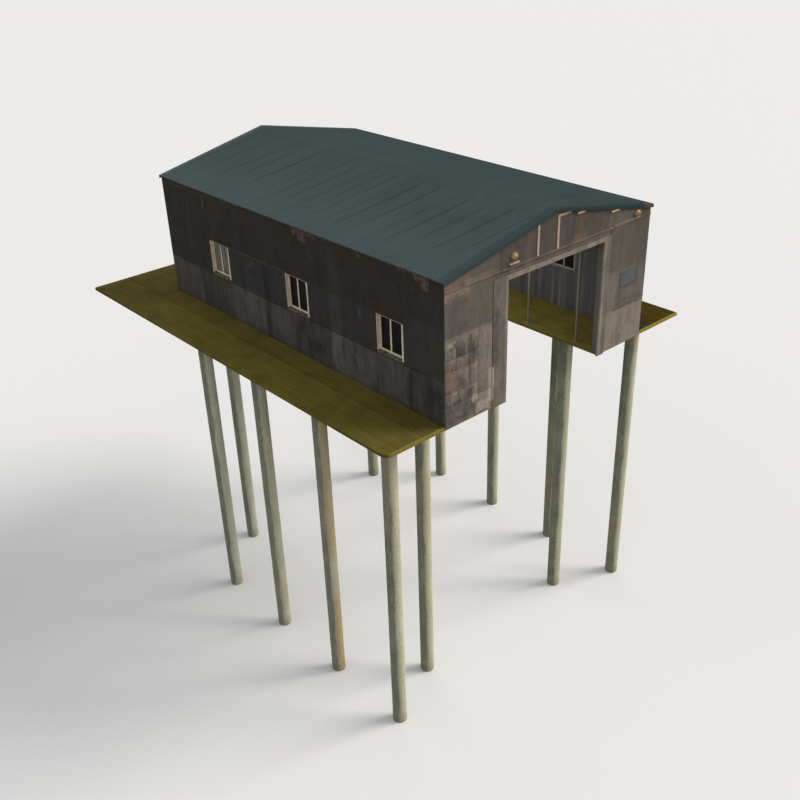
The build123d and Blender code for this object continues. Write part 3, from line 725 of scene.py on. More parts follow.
def make_stone():
    """Bare blocks of the front's left pier: pinkish and pale grey, with soot-dark stains."""
    finish = Finish("stone", (0.225, 0.190, 0.160), 0.9)
    finish.paint(finish.attribute("tone"), (0.215, 0.165, 0.135), 0.3)
    finish.mottle((0.165, 0.146, 0.127), 0.55, 2.4, 0.5, 0.14, (1, 8, 3), 0.3)
    for *span, ragged, tint, strength in (
        (-3.15, -2.55, 10.8, 13.15, 0.12, (0.262, 0.222, 0.185), 0.6),
        (-4.4, -3.64, 11.78, 12.56, 0.30, (0.235, 0.132, 0.098), 0.85),
        (-3.38, -3.10, 12.02, 12.30, 0.12, (0.245, 0.165, 0.128), 0.65),
        (-3.84, -3.56, 12.68, 13.08, 0.30, (0.050, 0.047, 0.045), 0.95),
        (-3.40, -3.30, 11.90, 13.30, 0.14, (0.046, 0.042, 0.040), 0.80),
        (-3.32, -3.08, 12.62, 13.02, 0.30, (0.056, 0.052, 0.049), 0.90),
        (-3.82, -3.44, 11.80, 12.10, 0.34, (0.060, 0.052, 0.048), 0.80),
        (-4.22, -3.30, 11.10, 11.40, 0.30, (0.078, 0.070, 0.066), 0.85),
        (-3.54, -3.18, 11.44, 11.64, 0.28, (0.042, 0.039, 0.038), 0.95),
        (-4.18, -3.42, 10.82, 11.00, 0.24, (0.060, 0.057, 0.056), 0.85),
        (-3.28, -3.14, 10.92, 11.18, 0.18, (0.055, 0.049, 0.045), 0.80),
    ):
        finish.paint(finish.front(span, 0.10, (ragged, 0, ragged * 1.5), 5.0), tint, strength)
    # Soot run down the faces and gathered along the joints, less so near the doorway
    soot = (0.052, 0.047, 0.044)
    for span in ((-4.15, -3.10, 12.34, 13.20), (-4.4, -3.15, 10.8, 11.80)):
        place = finish.front(span, 0.12, 0.2, 3.0)
        finish.mottle(soot, 0.75, (8.0, 8.0, 1.7), 0.50, 0.10, (9, 2, 5), 0.4, within=place)
    finish.mottle((0.070, 0.062, 0.057), 0.35, (7.0, 7.0, 3.0), 0.58, 0.08, (9, 2, 5), 0.3)
    broken = finish.stain(2.6, 0.50, 0.12, (4, 1, 7))
    half = 0.012
    for line, edges in zip(STONE_LINES, STONE_UPRIGHTS[1:]):
        spans = [(-FAR, STONE_PLAIN, line - half, line + half)]
        spans += [(edge - half, edge + half, line, line + 0.42) for edge in edges]
        for span in spans:
            finish.paint(finish.times(finish.front(span, 0.035, (0.06, 0, 0.06), 5.0), broken), soot, 0.6)
    finish.mottle((0.30, 0.255, 0.21), 0.35, (9, 9, 6), 0.62, 0.07, (3, 3, 3))
    for span in ((-3.24, -3.04, 11.20, 11.44), (-3.12, -2.62, 10.78, 11.12),
                 (-4.20, -3.98, 13.10, 13.20), (-2.66, -2.40, 10.95, 11.98)):
        finish.paint(finish.front(span, 0.05, (0.14, 0, 0.14), 5.0), (0.41, 0.345, 0.285), 0.8)
    finish.paint(finish.front((-4.4, -2.4, 0, SKIRT_Z + 0.03), 0.01), (0.34, 0.25, 0.10), 0.85)
    finish.grain(34, 0.3, 0.80, 0.002)
    finish.relief(finish.stain(9, 0.5, 0.2), 0.006)
    finish.done()


def make_cream(walls):
    """Cream paint of the doorway, dirty along its joints."""
    finish = Finish("cream", walls.cream, 0.85)
    finish.cloud(0.85, (1.2, 1.2, 0.8), 0.5, 0.15)
    # The left post is a grey strip with a cream arris, and the right one's outer half is grey as well
    for low_x, high_x, soft, tint, strength in (
        (-FAR, DOOR_LEFT - 0.10, 0.03, (0.143, 0.125, 0.105), 0.9),
        (DOOR_RIGHT + 0.10, FAR, 0.04, (0.170, 0.148, 0.124), 0.85),
    ):
        skin = finish.area((low_x, FRONT_Y - 0.2, 0), (high_x, FRONT_Y + 0.01, FAR), soft)
        finish.paint(skin, tint, strength)
    # A dark stain on the left post, and below it a pale strip and a duller arris
    for *span, soft, ragged, tint, strength in (
        (-2.50, -2.26, 12.0, 13.62, (0.05, 0.1, 0.15), 0.15, (0.078, 0.073, 0.067), 0.75),
        (-2.62, -2.42, 10.95, 11.98, (0.03, 0.1, 0.05), 0.08, (0.42, 0.36, 0.30), 0.85),
        (-2.42, -2.0, 10.6, 12.0, (0.04, 0.1, 0.4), 0.0, (0.188, 0.168, 0.132), 0.7),
    ):
        finish.paint(finish.front(span, soft, ragged), tint, strength)
    finish.cloud(1.12, (3.0, 3.0, 0.8), 0.5, 0.15, (2, 4, 6))
    finish.mottle((0.090, 0.078, 0.064), 0.4, (5, 5, 1.0), 0.58, 0.10, (1, 4, 2), 0.2)
    finish.mottle((0.075, 0.067, 0.059), 0.42, (3.6, 3.6, 1.3), 0.55, 0.12, (6, 4, 3), 0.2)
    finish.mottle((0.24, 0.205, 0.170), 0.35, (8, 8, 5), 0.60, 0.08, (2, 8, 3))
    finish.paint(finish.front((-2.53, -2.47, 12.0, 14.6), 0.015), (0.075, 0.069, 0.062), 0.8)
    # Grey reveals behind the arris
    reveal = finish.area((DOOR_LEFT - 0.02, FRONT_Y + 0.035, 0), (DOOR_RIGHT + 0.02, FAR, 14.365), 0.004)
    finish.paint(reveal, (0.105, 0.100, 0.094), 0.85)
    finish.grain(30, 0.25, 0.88, 0.001)
    finish.relief(finish.stain(6, 0.5, 0.3), 0.002)
    finish.done()


def make_paint(name, colour, rust=0.35, roughness=0.6, inside=1.0):
    """Worn paint over wood or steel, with grime and rust breaking through, and painted darker inside the
    building as shade.
    """
    finish = Finish(name, colour, roughness)
    finish.cloud(0.8, 3, 0.5, 0.2)
    finish.mottle((0.16, 0.075, 0.035), rust, (14, 14, 5), 0.62, 0.05, (2, 7, 4))
    finish.mottle(scaled(colour, 0.4), 0.5, (20, 20, 2), 0.60, 0.08, (1, 2, 9))
    # Painted shade inside the building, by the given amount
    indoors = finish.area((LEFT_X + 0.13, FRONT_Y + WALL, 0), (RIGHT_X - 0.13, BACK_Y, FAR), 0.005)
    finish.shade(indoors, inside)
    finish.gloss(finish.grain(60, 0.3, 0.9, 0.0005), min(roughness + 0.2, 1.0))
    finish.done()


def make_sill():
    finish = Finish("sill", (0.15, 0.14, 0.105), 0.9)
    finish.mottle((0.075, 0.070, 0.045), 0.8, 5, 0.5, 0.12)
    finish.mottle((0.045, 0.042, 0.030), 0.6, (3, 16, 3), 0.58, 0.07, (2, 2, 2))
    finish.grain(40, 0.3, 0.85, 0.0015)
    finish.done()


def make_glass():
    """Dark, dusty panes."""
    finish = Finish("glass", (0.006, 0.006, 0.007), 0.3, 0.05)
    dust = finish.stain((3, 3, 1.5), 0.5, 0.2)
    finish.paint(dust, (0.016, 0.0155, 0.0145), 0.35)
    finish.mottle((0.06, 0.06, 0.055), 0.25, (14, 14, 2), 0.66, 0.05, (3, 3, 1))
    finish.gloss(dust, 0.5)
    finish.done()


def make_roof(roof):
    finish = Finish("roof_sheet", roof.colour, 0.9, 0.0)
    finish.cloud(0.9, (0.35, 0.18, 0.35), 0.5, 0.2)
    finish.cloud(1.08, (0.4, 1.6, 0.4), 0.53, 0.2, (2, 5, 1))
    # The right slope is painted a little darker as shade, and the left one paler towards its eave
    finish.paint(finish.area((0.02, -FAR, 0), (FAR, FAR, FAR), 0.24), (0.785, 0.80, 0.81), 1.0, "MULTIPLY")
    finish.shade(finish.area((-FAR, -FAR, 0), (-2.4, FAR, FAR), (1.4, 1, 1)), 1.10)
    # The front edge is painted deeper in colour and darker, as the shade of a rolled-down verge
    finish.paint(finish.along((-FAR, -7.86, 0, FAR), 0.08, 0.05), (0.030, 0.048, 0.050), 0.45)
    # Dirt and painted shade along the folds
    finish.paint(finish.attribute("fold"), (0.010, 0.018, 0.020), 0.72)
    # Rust at the front right corner, and a painted highlight along the back edge and the left eave
    finish.paint(finish.area((3.9, -9, 0), (5, -8.05, FAR), 0.06, 0.3, 3.0), (0.15, 0.09, 0.06), 0.7)
    finish.paint(finish.along((5.74, 9, 0, FAR), 0.03, 0.04), (0.12, 0.145, 0.15), 0.6)
    finish.paint(finish.area((-5, -9, 0), (LEFT_X - 0.035, 9, FAR), 0.01, 0.02), (0.095, 0.115, 0.118), 0.6)
    finish.grain(38, 0.25, 0.9, 0.0004)
    finish.relief(finish.stain((1.2, 2.4, 1.2), 0.5, 0.3), 0.006)
    finish.done()


def make_timber(name, colour, scale, cracked):
    """Rough timber: fibres drawn out along one axis, dirt, and where wanted, checks."""
    finish = Finish(name, colour, 0.95, 0.08)
    finish.grain(scale, 0.22, 0.7, 0.002)
    finish.mottle(scaled(colour, 0.55), 0.6, 1.1, 0.55, 0.12, (4, 4, 1))
    if cracked:
        checks = finish.crack(scaled(scale, 0.3), 0.03, 0.5)
        finish.shade(checks, 0.4)
        finish.relief(checks, -0.004)
    return finish


def make_deck(deck):
    finish = make_timber("deck_boards", deck.colour, (22, 1.1, 22), False)
    finish.shade(finish.attribute("tone"), 0.93)
    # Painted shade: darker on the right side, and towards both ends of the left one
    painted_shade_right = finish.area((RIGHT_X, -FAR, 0), (FAR, BACK_Y + 1.0, FAR), (0.02, 1.8, 0.02))
    finish.paint(painted_shade_right, (0.36, 0.31, 0.12), 1.0, "MULTIPLY")
    finish.shade(finish.area((-FAR, 5.5, 0), (LEFT_X, FAR, FAR), (1.6, 1.5, 0.02)), 0.72)
    finish.shade(finish.area((-FAR, -FAR, 0), (LEFT_X, -5.6, FAR), (0.02, 1.6, 0.02)), 0.84)
    # Paler boards outside the seam, and the seam itself
    outer = reckon(finish.tree, "ABSOLUTE", add(finish.tree, "SeparateXYZ", {0: finish.here})[0])
    seam = RIGHT_X + deck.seam
    ends = {"Value": outer, "From Min": seam - 0.02, "From Max": seam + 0.02}
    finish.shade(add(finish.tree, "MapRange", ends)[0], 1.17)
    for side in (-seam, seam):
        line = finish.area((side - 0.015, -FAR, 0), (side + 0.015, FAR, FAR), 0.02, (0.03, 0, 0), 1.5)
        finish.shade(line, 0.62)
    finish.cloud(0.9, (0.5, 0.25, 1), 0.53, 0.2, (3, 1, 1))
    finish.cloud(0.78, 16, 0.64, 0.05, (1, 8, 1))
    # Painted highlight on the front edge, duller on the left
    for high_x, tint, strength in ((FAR, deck.edge, 0.9), (0, (0.205, 0.160, 0.036), 0.8)):
        edge = finish.area((-FAR, -FAR, 0), (high_x, FRONT_Y + 0.05, FAR), (0.01, 0.015, 0.01))
        finish.paint(edge, tint, strength)
    finish.done()


# Place along the building of each stained pile in the left row, the stain's colour and its strength
STAINED_PILES = ((-3.91, (0.52, 0.33, 0.15), 0.75), (-0.76, (0.46, 0.41, 0.25), 0.50))


def make_piles(piles):
    """Speckled timber, painted pale as light on the side towards the key light, and greener and darker as
    painted shade on the other.
    """
    finish = make_timber("pile_timber", piles.colour, (26, 26, 8), True)
    # Painted light: the side of each pile towards the key light is painted pale, with ragged edges
    patches = finish.times(finish.stain((2.2, 2.2, 0.9), 0.5, 0.3, (4, 4, 9)), 0.4)
    ragged = reckon(finish.tree, "ADD", finish.attribute("sunny"), patches)
    ends = {"Value": ragged, "From Min": -0.16, "From Max": 0.26}
    sunny = add(finish.tree, "MapRange", ends, interpolation_type="SMOOTHSTEP")[0]
    finish.paint(sunny, piles.bleached, 0.85)
    # Painted light, paler still on the piles of the left row
    left_piles = finish.area((-FAR, -2.0, -1), (0, FAR, FAR), (0.1, 1.5, 0.1))
    finish.paint(finish.times(left_piles, sunny), (0.64, 0.64, 0.52), 0.55)
    # Two piles of the left row carry warm stains on their sunlit side, partly stain and partly painted light
    for y, tint, strength in STAINED_PILES:
        place = finish.times(finish.area((-FAR, y - 0.5, -1), (-5.0, y + 0.5, FAR), 0.05), sunny)
        finish.mottle(tint, strength, (2.0, 2.0, 0.35), 0.44, 0.12, (7, 3, 2), within=place)
    finish.cloud(1.12, (1.3, 1.3, 0.5), 0.5, 0.12, (5, 2, 1))
    # Painted shade: greener, darker mottling on the side away from the key light
    shaded_side = reckon(finish.tree, "SUBTRACT", 1.0, sunny)
    finish.mottle((0.16, 0.185, 0.13), 0.5, (3.0, 3.0, 1.1), 0.55, 0.10, (1, 6, 4), 0.3, within=shaded_side)
    specks = finish.stain((30, 30, 20), 0.61, 0.05, (2, 4, 2))
    finish.paint(specks, (0.075, 0.080, 0.062), 0.65)
    finish.relief(specks, -0.003)
    finish.mottle((0.60, 0.57, 0.46), 0.4, (55, 55, 45), 0.58, 0.06, (2, 4, 2))
    finish.mottle((0.47, 0.40, 0.26), 0.3, (0.5, 0.5, 0.35), 0.55, 0.1, (9, 1, 2))
    foot = finish.along((-FAR, FAR, -1, 0.35), (0.1, 0.1, 0.15), (0, 0, 0.3), 3.0)
    finish.paint(foot, (0.22, 0.22, 0.14), 0.35)
    finish.done()


def make_lens(fittings):
    finish = Finish("lamp_lens", (0.46, 0.27, 0.11), 0.45)
    finish.mottle((0.22, 0.11, 0.045), 0.7, 20, 0.55, 0.1)
    feed(finish.tree, finish.sockets["Emission Color"], finish.colour)
    finish.sockets["Emission Strength"].default_value = fittings.glow
    finish.done()


# Finish of each CAD slot whose finish has another name
SLOT_FINISHES = {
    "framing_timber": "framing",
    "pale_paint": "cream",
    "window_glass": "glass",
    "sill_render": "sill",
    "lamp_housing": "housing",
    "conduit_metal": "conduit",
    "batten_paint": "batten",
    "plate_metal": "plate",
}


class BOATHOUSE_OT_finishes(bpy.types.Operator):
    """Makes every finish and gives each CAD node its own"""

    bl_idname = "boathouse.finishes"
    bl_label = "Finishes"

    def execute(self, context):
        house = context.scene.boathouse
        make_stain_effect()
        make_area_effect()
        make_crack_effect()
        make_side_render(house.walls)
        make_front_render(house.walls)
        make_brick(house.walls)
        make_mortar()
        make_stone()
        make_cream(house.walls)
        make_sill()
        make_glass()
        make_roof(house.roof)
        make_deck(house.deck)
        make_piles(house.piles)
        make_timber("framing", (0.085, 0.062, 0.042), (9, 1.0, 9), True).done()
        make_paint("window_paint", house.windows.paint, 0.15, 0.6, 0.35)
        make_paint("post_paint", (0.205, 0.193, 0.128), 0.2)
        make_paint("batten", (0.55, 0.39, 0.28), 0.4)
        make_paint("conduit", (0.285, 0.205, 0.145), 0.45)
        make_paint("plate", (0.115, 0.118, 0.122), 0.2)
        make_paint("housing", (0.20, 0.15, 0.10), 0.7)
        make_paint("board", (0.25, 0.235, 0.18), 0.1, 0.85)
        make_paint("bead", (0.10, 0.085, 0.07), 0.1)
        make_lens(house.fittings)
        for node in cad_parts.values():
            slot = node.data.materials[0].name.split(".")[0]
            for place in node.material_slots:
                place.material = bpy.data.materials["finish_" + SLOT_FINISHES.get(slot, slot)]
        return {"FINISHED"}


# Roof

# Place across a strip between folds, the share of its rise there, and the share of dirt and painted shade
STRIP = (
    (0.0, 0.0, 0.0), (0.30, 0.05, 0.0), (0.60, 0.40, 0.0),
    (0.82, 1.0, 0.0), (0.92, 0.45, 1.0), (1.0, 0.0, 0.0),
)
# Rows of faces from the eave to the ridge
ROWS = 12
# Folds: place at the ridge and strength
FOLDS = (
    (-9.6, 0.1), (-8.6, 0.25), (-7.7, 0.1), (-7.0, 0.35), (-6.2, 0.15), (-5.5, 0.45), (-4.9, 0.2),
    (-4.1, 0.3), (-3.4, 0.9), (-2.9, 0.25), (-2.3, 1.0), (-1.75, 0.3), (-1.3, 0.85), (-0.5, 0.25), (0.1, 0.7),
    (0.75, 0.15), (1.7, 0.4), (2.6, 0.15), (3.3, 0.3), (4.4, 0.1), (5.3, 0.2), (6.2, 0.1), (7.1, 0.1),
)


def roof_slope(name, side, share, roof):
    """One slope: strips between leaning folds, welded, thickened, trimmed and pitched."""
    reach = ROOF_HIGH.x - ROOF_LOW.x
    top = ROOF_HIGH.z - 0.004
    last = len(STRIP) - 1
    strip = added(bpy.ops.mesh.primitive_grid_add, x_subdivisions=ROWS, y_subdivisions=last, size=1)
    strip.data.transform(Matrix.Translation((0.5, 0.5, 0)))
    # Share of dirt and painted shade at each point, strongest on the falling side of a fold
    dirt = [0.0] * len(strip.data.vertices)
    for column in reversed(range(last + 1)):
        place, rise, dirty = STRIP[column]
        for row in range(ROWS + 1):
            strength = abs(math.sin(math.pi * (row / ROWS) ** 0.8)) ** 1.5
            step = (0, place - column / last, rise * strength * roof.fold_rise)
            move(strip, step, lambda at: near(at.x, row / ROWS) and near(at.y, column / last))
            for vertex in strip.data.vertices:
                if vertex.select:
                    dirt[vertex.index] = dirty * strength
    strips = []
    for (low, _), (high, strength) in zip(FOLDS, FOLDS[1:]):
        made = own_copy(strip, name)
        place = Matrix.Translation((0, low + roof.lean, 0))
        made.data.transform(place @ sized(reach, high - low, strength * share))
        # The fold attribute carries this dirt and painted shade to the roof's finish
        fold = made.data.attributes.new("fold", "FLOAT", "POINT")
        fold.data.foreach_set("value", [min(part * strength**0.6 * share * 1.3, 1) for part in dirt])
        strips.append(made)
    bpy.data.objects.remove(strip)
    sheet = joined(strips, name)
    weld(sheet)
    for row in range(ROWS):
        up = row / ROWS
        move(sheet, (0, -roof.lean * (1 - up ** 1.6), 0), lambda at: near(at.x, up * reach))
    modify(sheet, "SOLIDIFY", thickness=roof.sheet, offset=-1)
    cut_off(sheet, ROOF_LOW, (0, -1, 0))
    cut_off(sheet, ROOF_HIGH, (0, 1, 0))
    pitched = Matrix(((side, 0, 0, 0), (0, 1, 0, 0), (-ROOF_PITCH, 0, 1, top), (0, 0, 0, 1)))
    sheet.data.transform(pitched)
    outward(sheet)
    smooth(sheet, 50)
    return sheet


def ridge_cover(roof, rng):
    """Lapped lengths of a cover that is rolled over the ridge and thins to its edges."""
    low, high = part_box("ridge_cap")
    columns = 24
    lengths = 6
    lap = 0.06
    sag = 0.0015
    under = 0.010
    thick = 0.006
    reach = roof.cap_reach
    long = (high.y - low.y + lap * (lengths - 1)) / lengths
    cap = added(bpy.ops.mesh.primitive_grid_add, x_subdivisions=columns, y_subdivisions=1, size=1)
    cap.data.transform(sized(2 * reach, long, 1))
    flat = roof.crown * math.sin(math.atan(ROOF_PITCH))
    fall = ROOF_PITCH + roof.cap_feather / (reach - flat)
    for column in range(columns + 1):
        x = reach * (2 * column / columns - 1)
        rolled = min(abs(x), flat)
        round_off = roof.crown - math.sqrt(roof.crown**2 - rolled**2)
        z = high.z - under - round_off - (abs(x) - rolled) * fall
        move(cap, (0, 0, z), lambda at: near(at.x, x))
    modify(cap, "SOLIDIFY", thickness=thick, offset=-1)
    places = []
    for number in range(lengths):
        y = low.y + long / 2 + number * (long - lap)
        places.append(Matrix.Translation((0, y, -sag * (number % 2))))
    ridge = spread("ridge_lengths", cap, places, rng)
    outward(ridge)
    smooth(ridge)
    return ridge


class BOATHOUSE_OT_roof(bpy.types.Operator):
    """Lays both slopes of lapped sheet and the soft ridge"""

    bl_idname = "boathouse.roof"
    bl_label = "Roof"

    def execute(self, context):
        roof = context.scene.boathouse.roof
        for name, side, share, node in (
            ("roof_sheet_left", -1, 1.0, "roof_left"),
            ("roof_sheet_right", 1, 0.3, "roof_right"),
        ):
            settle(roof_slope(name, side, share, roof), "roof_sheet", "roof_sheet", node)
        settle(ridge_cover(roof, random.Random(4)), "roof_sheet", "roof_sheet", "ridge_cap")
        return {"FINISHED"}


# Walls

# Where the side walls' panels meet, as distances along the building: below the sills, then above the windows
LOW_JOINTS = {LEFT: (-6.75, -5.33, -0.04, 1.95), RIGHT: (-6.2, -2.9, 0.6, 3.9)}
HIGH_JOINTS = {LEFT: (-3.7, 1.1), RIGHT: (-4.6, 0.9)}
# Broken places along a face: middle, height and half sizes
BROKEN = {
    LEFT: (
        (-1.20, 15.00, 0.36, 0.14), (-1.78, 14.96, 0.34, 0.26), (-2.14, 14.84, 0.28, 0.34),
        (-2.60, 14.98, 0.36, 0.20), (-3.10, 15.00, 0.32, 0.14), (-4.75, 14.95, 0.24, 0.17),
        (-5.90, 15.00, 0.30, 0.13), (-6.45, 15.00, 0.28, 0.16), (-6.95, 14.99, 0.30, 0.15),
        (-7.28, 14.86, 0.22, 0.20), (-7.36, 14.68, 0.20, 0.16), (1.7, 14.98, 0.8, 0.10),
        (4.2, 14.98, 0.9, 0.10),
    ),
    RIGHT: (
        (3.4, 14.96, 0.5, 0.28), (2.8, 14.90, 0.3, 0.30), (-1.0, 14.97, 0.6, 0.2),
        (-1.9, 14.95, 0.4, 0.26), (-5.9, 14.94, 0.5, 0.30), (-6.5, 14.97, 0.4, 0.2),
    ),
    FRONT: (
        (-4.05, 14.58, 0.34, 0.20), (-3.72, 14.58, 0.28, 0.18),
        (-3.48, 14.62, 0.22, 0.14), (-4.26, 14.54, 0.22, 0.22),
    ),
}


def window_places(face, windows):
    """Middles of the windows along a side wall, from the front."""
    half = windows.width / 2
    first = FRAMES[0].y + half if face == LEFT else FRAMES[1].y - half - windows.pitch * 2
    return [first + windows.pitch * number for number in range(3)]


def side_coat(face, walls, windows, rng):
    """One slab with its joints, its courses and its windows cut out."""
    top = EAVE_Z - 0.004
    over = 0.1
    through = 0.05
    half = walls.joint / 2
    reach = windows.width / 2
    inner = (FRONT_Y + walls.bare_end, BACK_Y - walls.bare_end)
    cuts = [(inner, (COURSES[0].z, SILL_LINE)), (inner, (HEAD_LINE, HEAD_LINE + COURSE))]
    for joint in LOW_JOINTS[face]:
        cuts.append(((joint - half, joint + half), (DECK_Z - over, SILL_LINE - half)))
    for joint in HIGH_JOINTS[face]:
        cuts.append(((joint - half, joint + half), (HEAD_LINE + half, top + over)))
    for middle in window_places(face, windows):
        cuts.append(((middle - reach, middle + reach), (SILL_LINE - half, HEAD_LINE + half)))
    ends = (FRONT_Y - walls.coat, BACK_Y + walls.coat)
    piece = boxes("render_" + face, [slab(face, ends, (DECK_Z, top), walls.coat)], rng)
    corners = [slab(face, along, heights, through, through) for along, heights in cuts]
    carve(piece, boxes("cutter", corners, rng))
    return piece


def gable_coat(face, rows, walls, rng):
    """Panels between edges along a face and between two heights, cut off a little under the roof."""
    corners = []
    for edges, heights in rows:
        for first, last in zip(edges, edges[1:]):
            along = (first + walls.joint / 2, last - walls.joint / 2)
            corners.append(slab(face, along, heights, walls.coat * rng.uniform(0.85, 1.0)))
    piece = boxes("render_" + face, corners, rng)
    for side in (-1, 1):
        cut_off(piece, (0, 0, GABLE_TOP - 0.01), (side * ROOF_PITCH, 0, 1))
    return piece


def break_away(piece, face):
    """Cuts the ragged holes of a face out of its coat."""
    lumps = []
    for along, z, half_along, half_z in BROKEN[face]:
        lump = added(bpy.ops.mesh.primitive_ico_sphere_add, subdivisions=4, radius=1)
        size = Vector(on_face(face, half_along, 0.08, half_z)) - Vector(on_face(face, 0, 0, 0))
        lump.data.transform(Matrix.Translation(on_face(face, along, 0, z)) @ sized(*map(abs, size)))
        lumps.append(lump)
    cutter = joined(lumps, "cutter")
    roughen(cutter, "ragged", 0.22, 0.26, 0.55)
    outward(cutter)
    carve(piece, cutter)


def broken_wall(face, drop):
    """Ends of the wall along a face with broken places, and its top or a little under it."""
    if face == FRONT:
        return LEFT_X, PIER_LEFT, LEDGE_Z
    return FRONT_Y, BACK_Y, EAVE_Z - drop


def lay_bricks(face, walls, rng):
    """Bricks in half bond behind a face's broken places."""
    start_along, end_along, top = broken_wall(face, 0.01)
    pitch = walls.brick_length + walls.mortar
    rise = walls.brick_height + walls.mortar
    half = walls.brick_length / 2
    over = pitch * 0.3
    # How far bricks reach beyond a broken place, along the wall and up
    beyond, above = 0.13, 0.06
    found = []
    for along, z, half_along, half_z in BROKEN[face]:
        for row in range(10):
            low = top - (row + 1) * rise
            shift = pitch / 2 * (row % 2)
            for number in range(-40, 41):
                middle = number * pitch + shift
                away = ((middle - along) / (half_along + beyond)) ** 2 + ((low - z) / (half_z + above)) ** 2
                on_wall = start_along - over < middle < end_along + over
                if away < 1 and on_wall and (middle, low) not in found:
                    found.append((middle, low))
    corners = []
    for middle, low in found:
        along = (max(middle - half, start_along), min(middle + half, end_along))
        corners.append(slab(face, along, (low, low + walls.brick_height), rng.uniform(0.004, 0.009)))
    return boxes("bricks_" + face, corners, rng, 0.004)


def lay_mortar(face, rng):
    """Mortar round the bricks."""
    start_along, end_along, top = broken_wall(face, 0.006)
    beyond, below = 0.1, 0.08
    # Each bed stands a little further out than the one before, so that no two lie in one plane
    out, step = 0.002, 0.0003
    corners = []
    for number, (along, z, half_along, half_z) in enumerate(BROKEN[face]):
        half = half_along + beyond
        span = (max(along - half, start_along), min(along + half, end_along))
        corners.append(slab(face, span, (z - half_z - below, top), out + number * step))
    return boxes("mortar_" + face, corners, rng)


class BOATHOUSE_OT_coats(bpy.types.Operator):
    """Puts the render on the outer walls as panels with joints, broken away where bricks show"""

    bl_idname = "boathouse.coats"
    bl_label = "Render"

    def execute(self, context):
        house = context.scene.boathouse
        walls = house.walls
        rng = random.Random(11)
        left, right = LEFT_X - walls.coat, RIGHT_X + walls.coat
        inner_left, inner_right = LEFT_X + walls.bare_end, RIGHT_X - walls.bare_end
        back_rows = (
            ((left, inner_left), (DECK_Z, GABLE_TOP)),
            ((inner_right, right), (DECK_Z, GABLE_TOP)),
            ((inner_left, -1.2, 1.9, inner_right), (DECK_Z, COURSES[0].z)),
            ((inner_left, 0.4, inner_right), (SILL_LINE, HEAD_LINE)),
            ((inner_left, -1.9, 1.6, inner_right), (HEAD_LINE + COURSE, GABLE_TOP)),
        )
        front_rows = (
            ((left, PIER_LEFT), (walls.stone_top, LEDGE_Z)),
            ((PIER_RIGHT, right), (SKIRT_Z, walls.groove - walls.joint)),
            ((PIER_RIGHT, right), (walls.groove, LEDGE_Z)),
            ((left, -2.19, 2.27, right), (COURSES[1].z, GABLE_TOP)),
        )
        coats = {
            LEFT: side_coat(LEFT, walls, house.windows, rng),
            RIGHT: side_coat(RIGHT, walls, house.windows, rng),
            BACK: gable_coat(BACK, back_rows, walls, rng),
            FRONT: gable_coat(FRONT, front_rows, walls, rng),
        }
        for face, coat in coats.items():
            slot = "front_render" if face == FRONT else "side_render"
            if face in BROKEN:
                break_away(coat, face)
            ease(coat, 0.002)
            settle(coat, slot, slot)
            if face in BROKEN:
                settle(lay_bricks(face, walls, rng), slot, "brick")
                settle(lay_mortar(face, rng), slot, "mortar")
        return {"FINISHED"}


class BOATHOUSE_OT_stones(bpy.types.Operator):
    """Lays the bare stone blocks of the front's left pier"""

    bl_idname = "boathouse.stones"
    bl_label = "Stones"

    def execute(self, context):
        walls = context.scene.boathouse.walls
        rng = random.Random(23)
        half_joint = 0.0015
        levels = (SKIRT_Z, *STONE_LINES, walls.stone_top)
        corners = []
        for row, (low, high) in enumerate(zip(levels, levels[1:])):
            edges = (LEFT_X - walls.coat, *STONE_UPRIGHTS[row], STONE_PLAIN if row else PIER_LEFT)
            heights = (low + half_joint, high - half_joint)
            for first, last in zip(edges, edges[1:]):
                along = (first + half_joint, last - half_joint)
                corners.append(slab(FRONT, along, heights, rng.uniform(0.012, 0.014)))
        corners.append(slab(FRONT, (STONE_PLAIN, PIER_LEFT), (levels[1], levels[-1]), 0.013))
        stones = boxes("stone_blocks", corners, rng)
        ease(stones, 0.003, 2)
        edit(stones, bpy.ops.mesh.subdivide, number_cuts=2)
        roughen(stones, "stone_face", 0.09, 0.010, 0.7)
        smooth(stones, 60)
        settle(stones, "front_render", "stone")
        bed = [slab(FRONT, (LEFT_X, PIER_LEFT), (SKIRT_Z, walls.stone_top), 0.007)]
        settle(boxes("stone_bed", bed, rng, 0.002), "front_render", "stone")
        return {"FINISHED"}


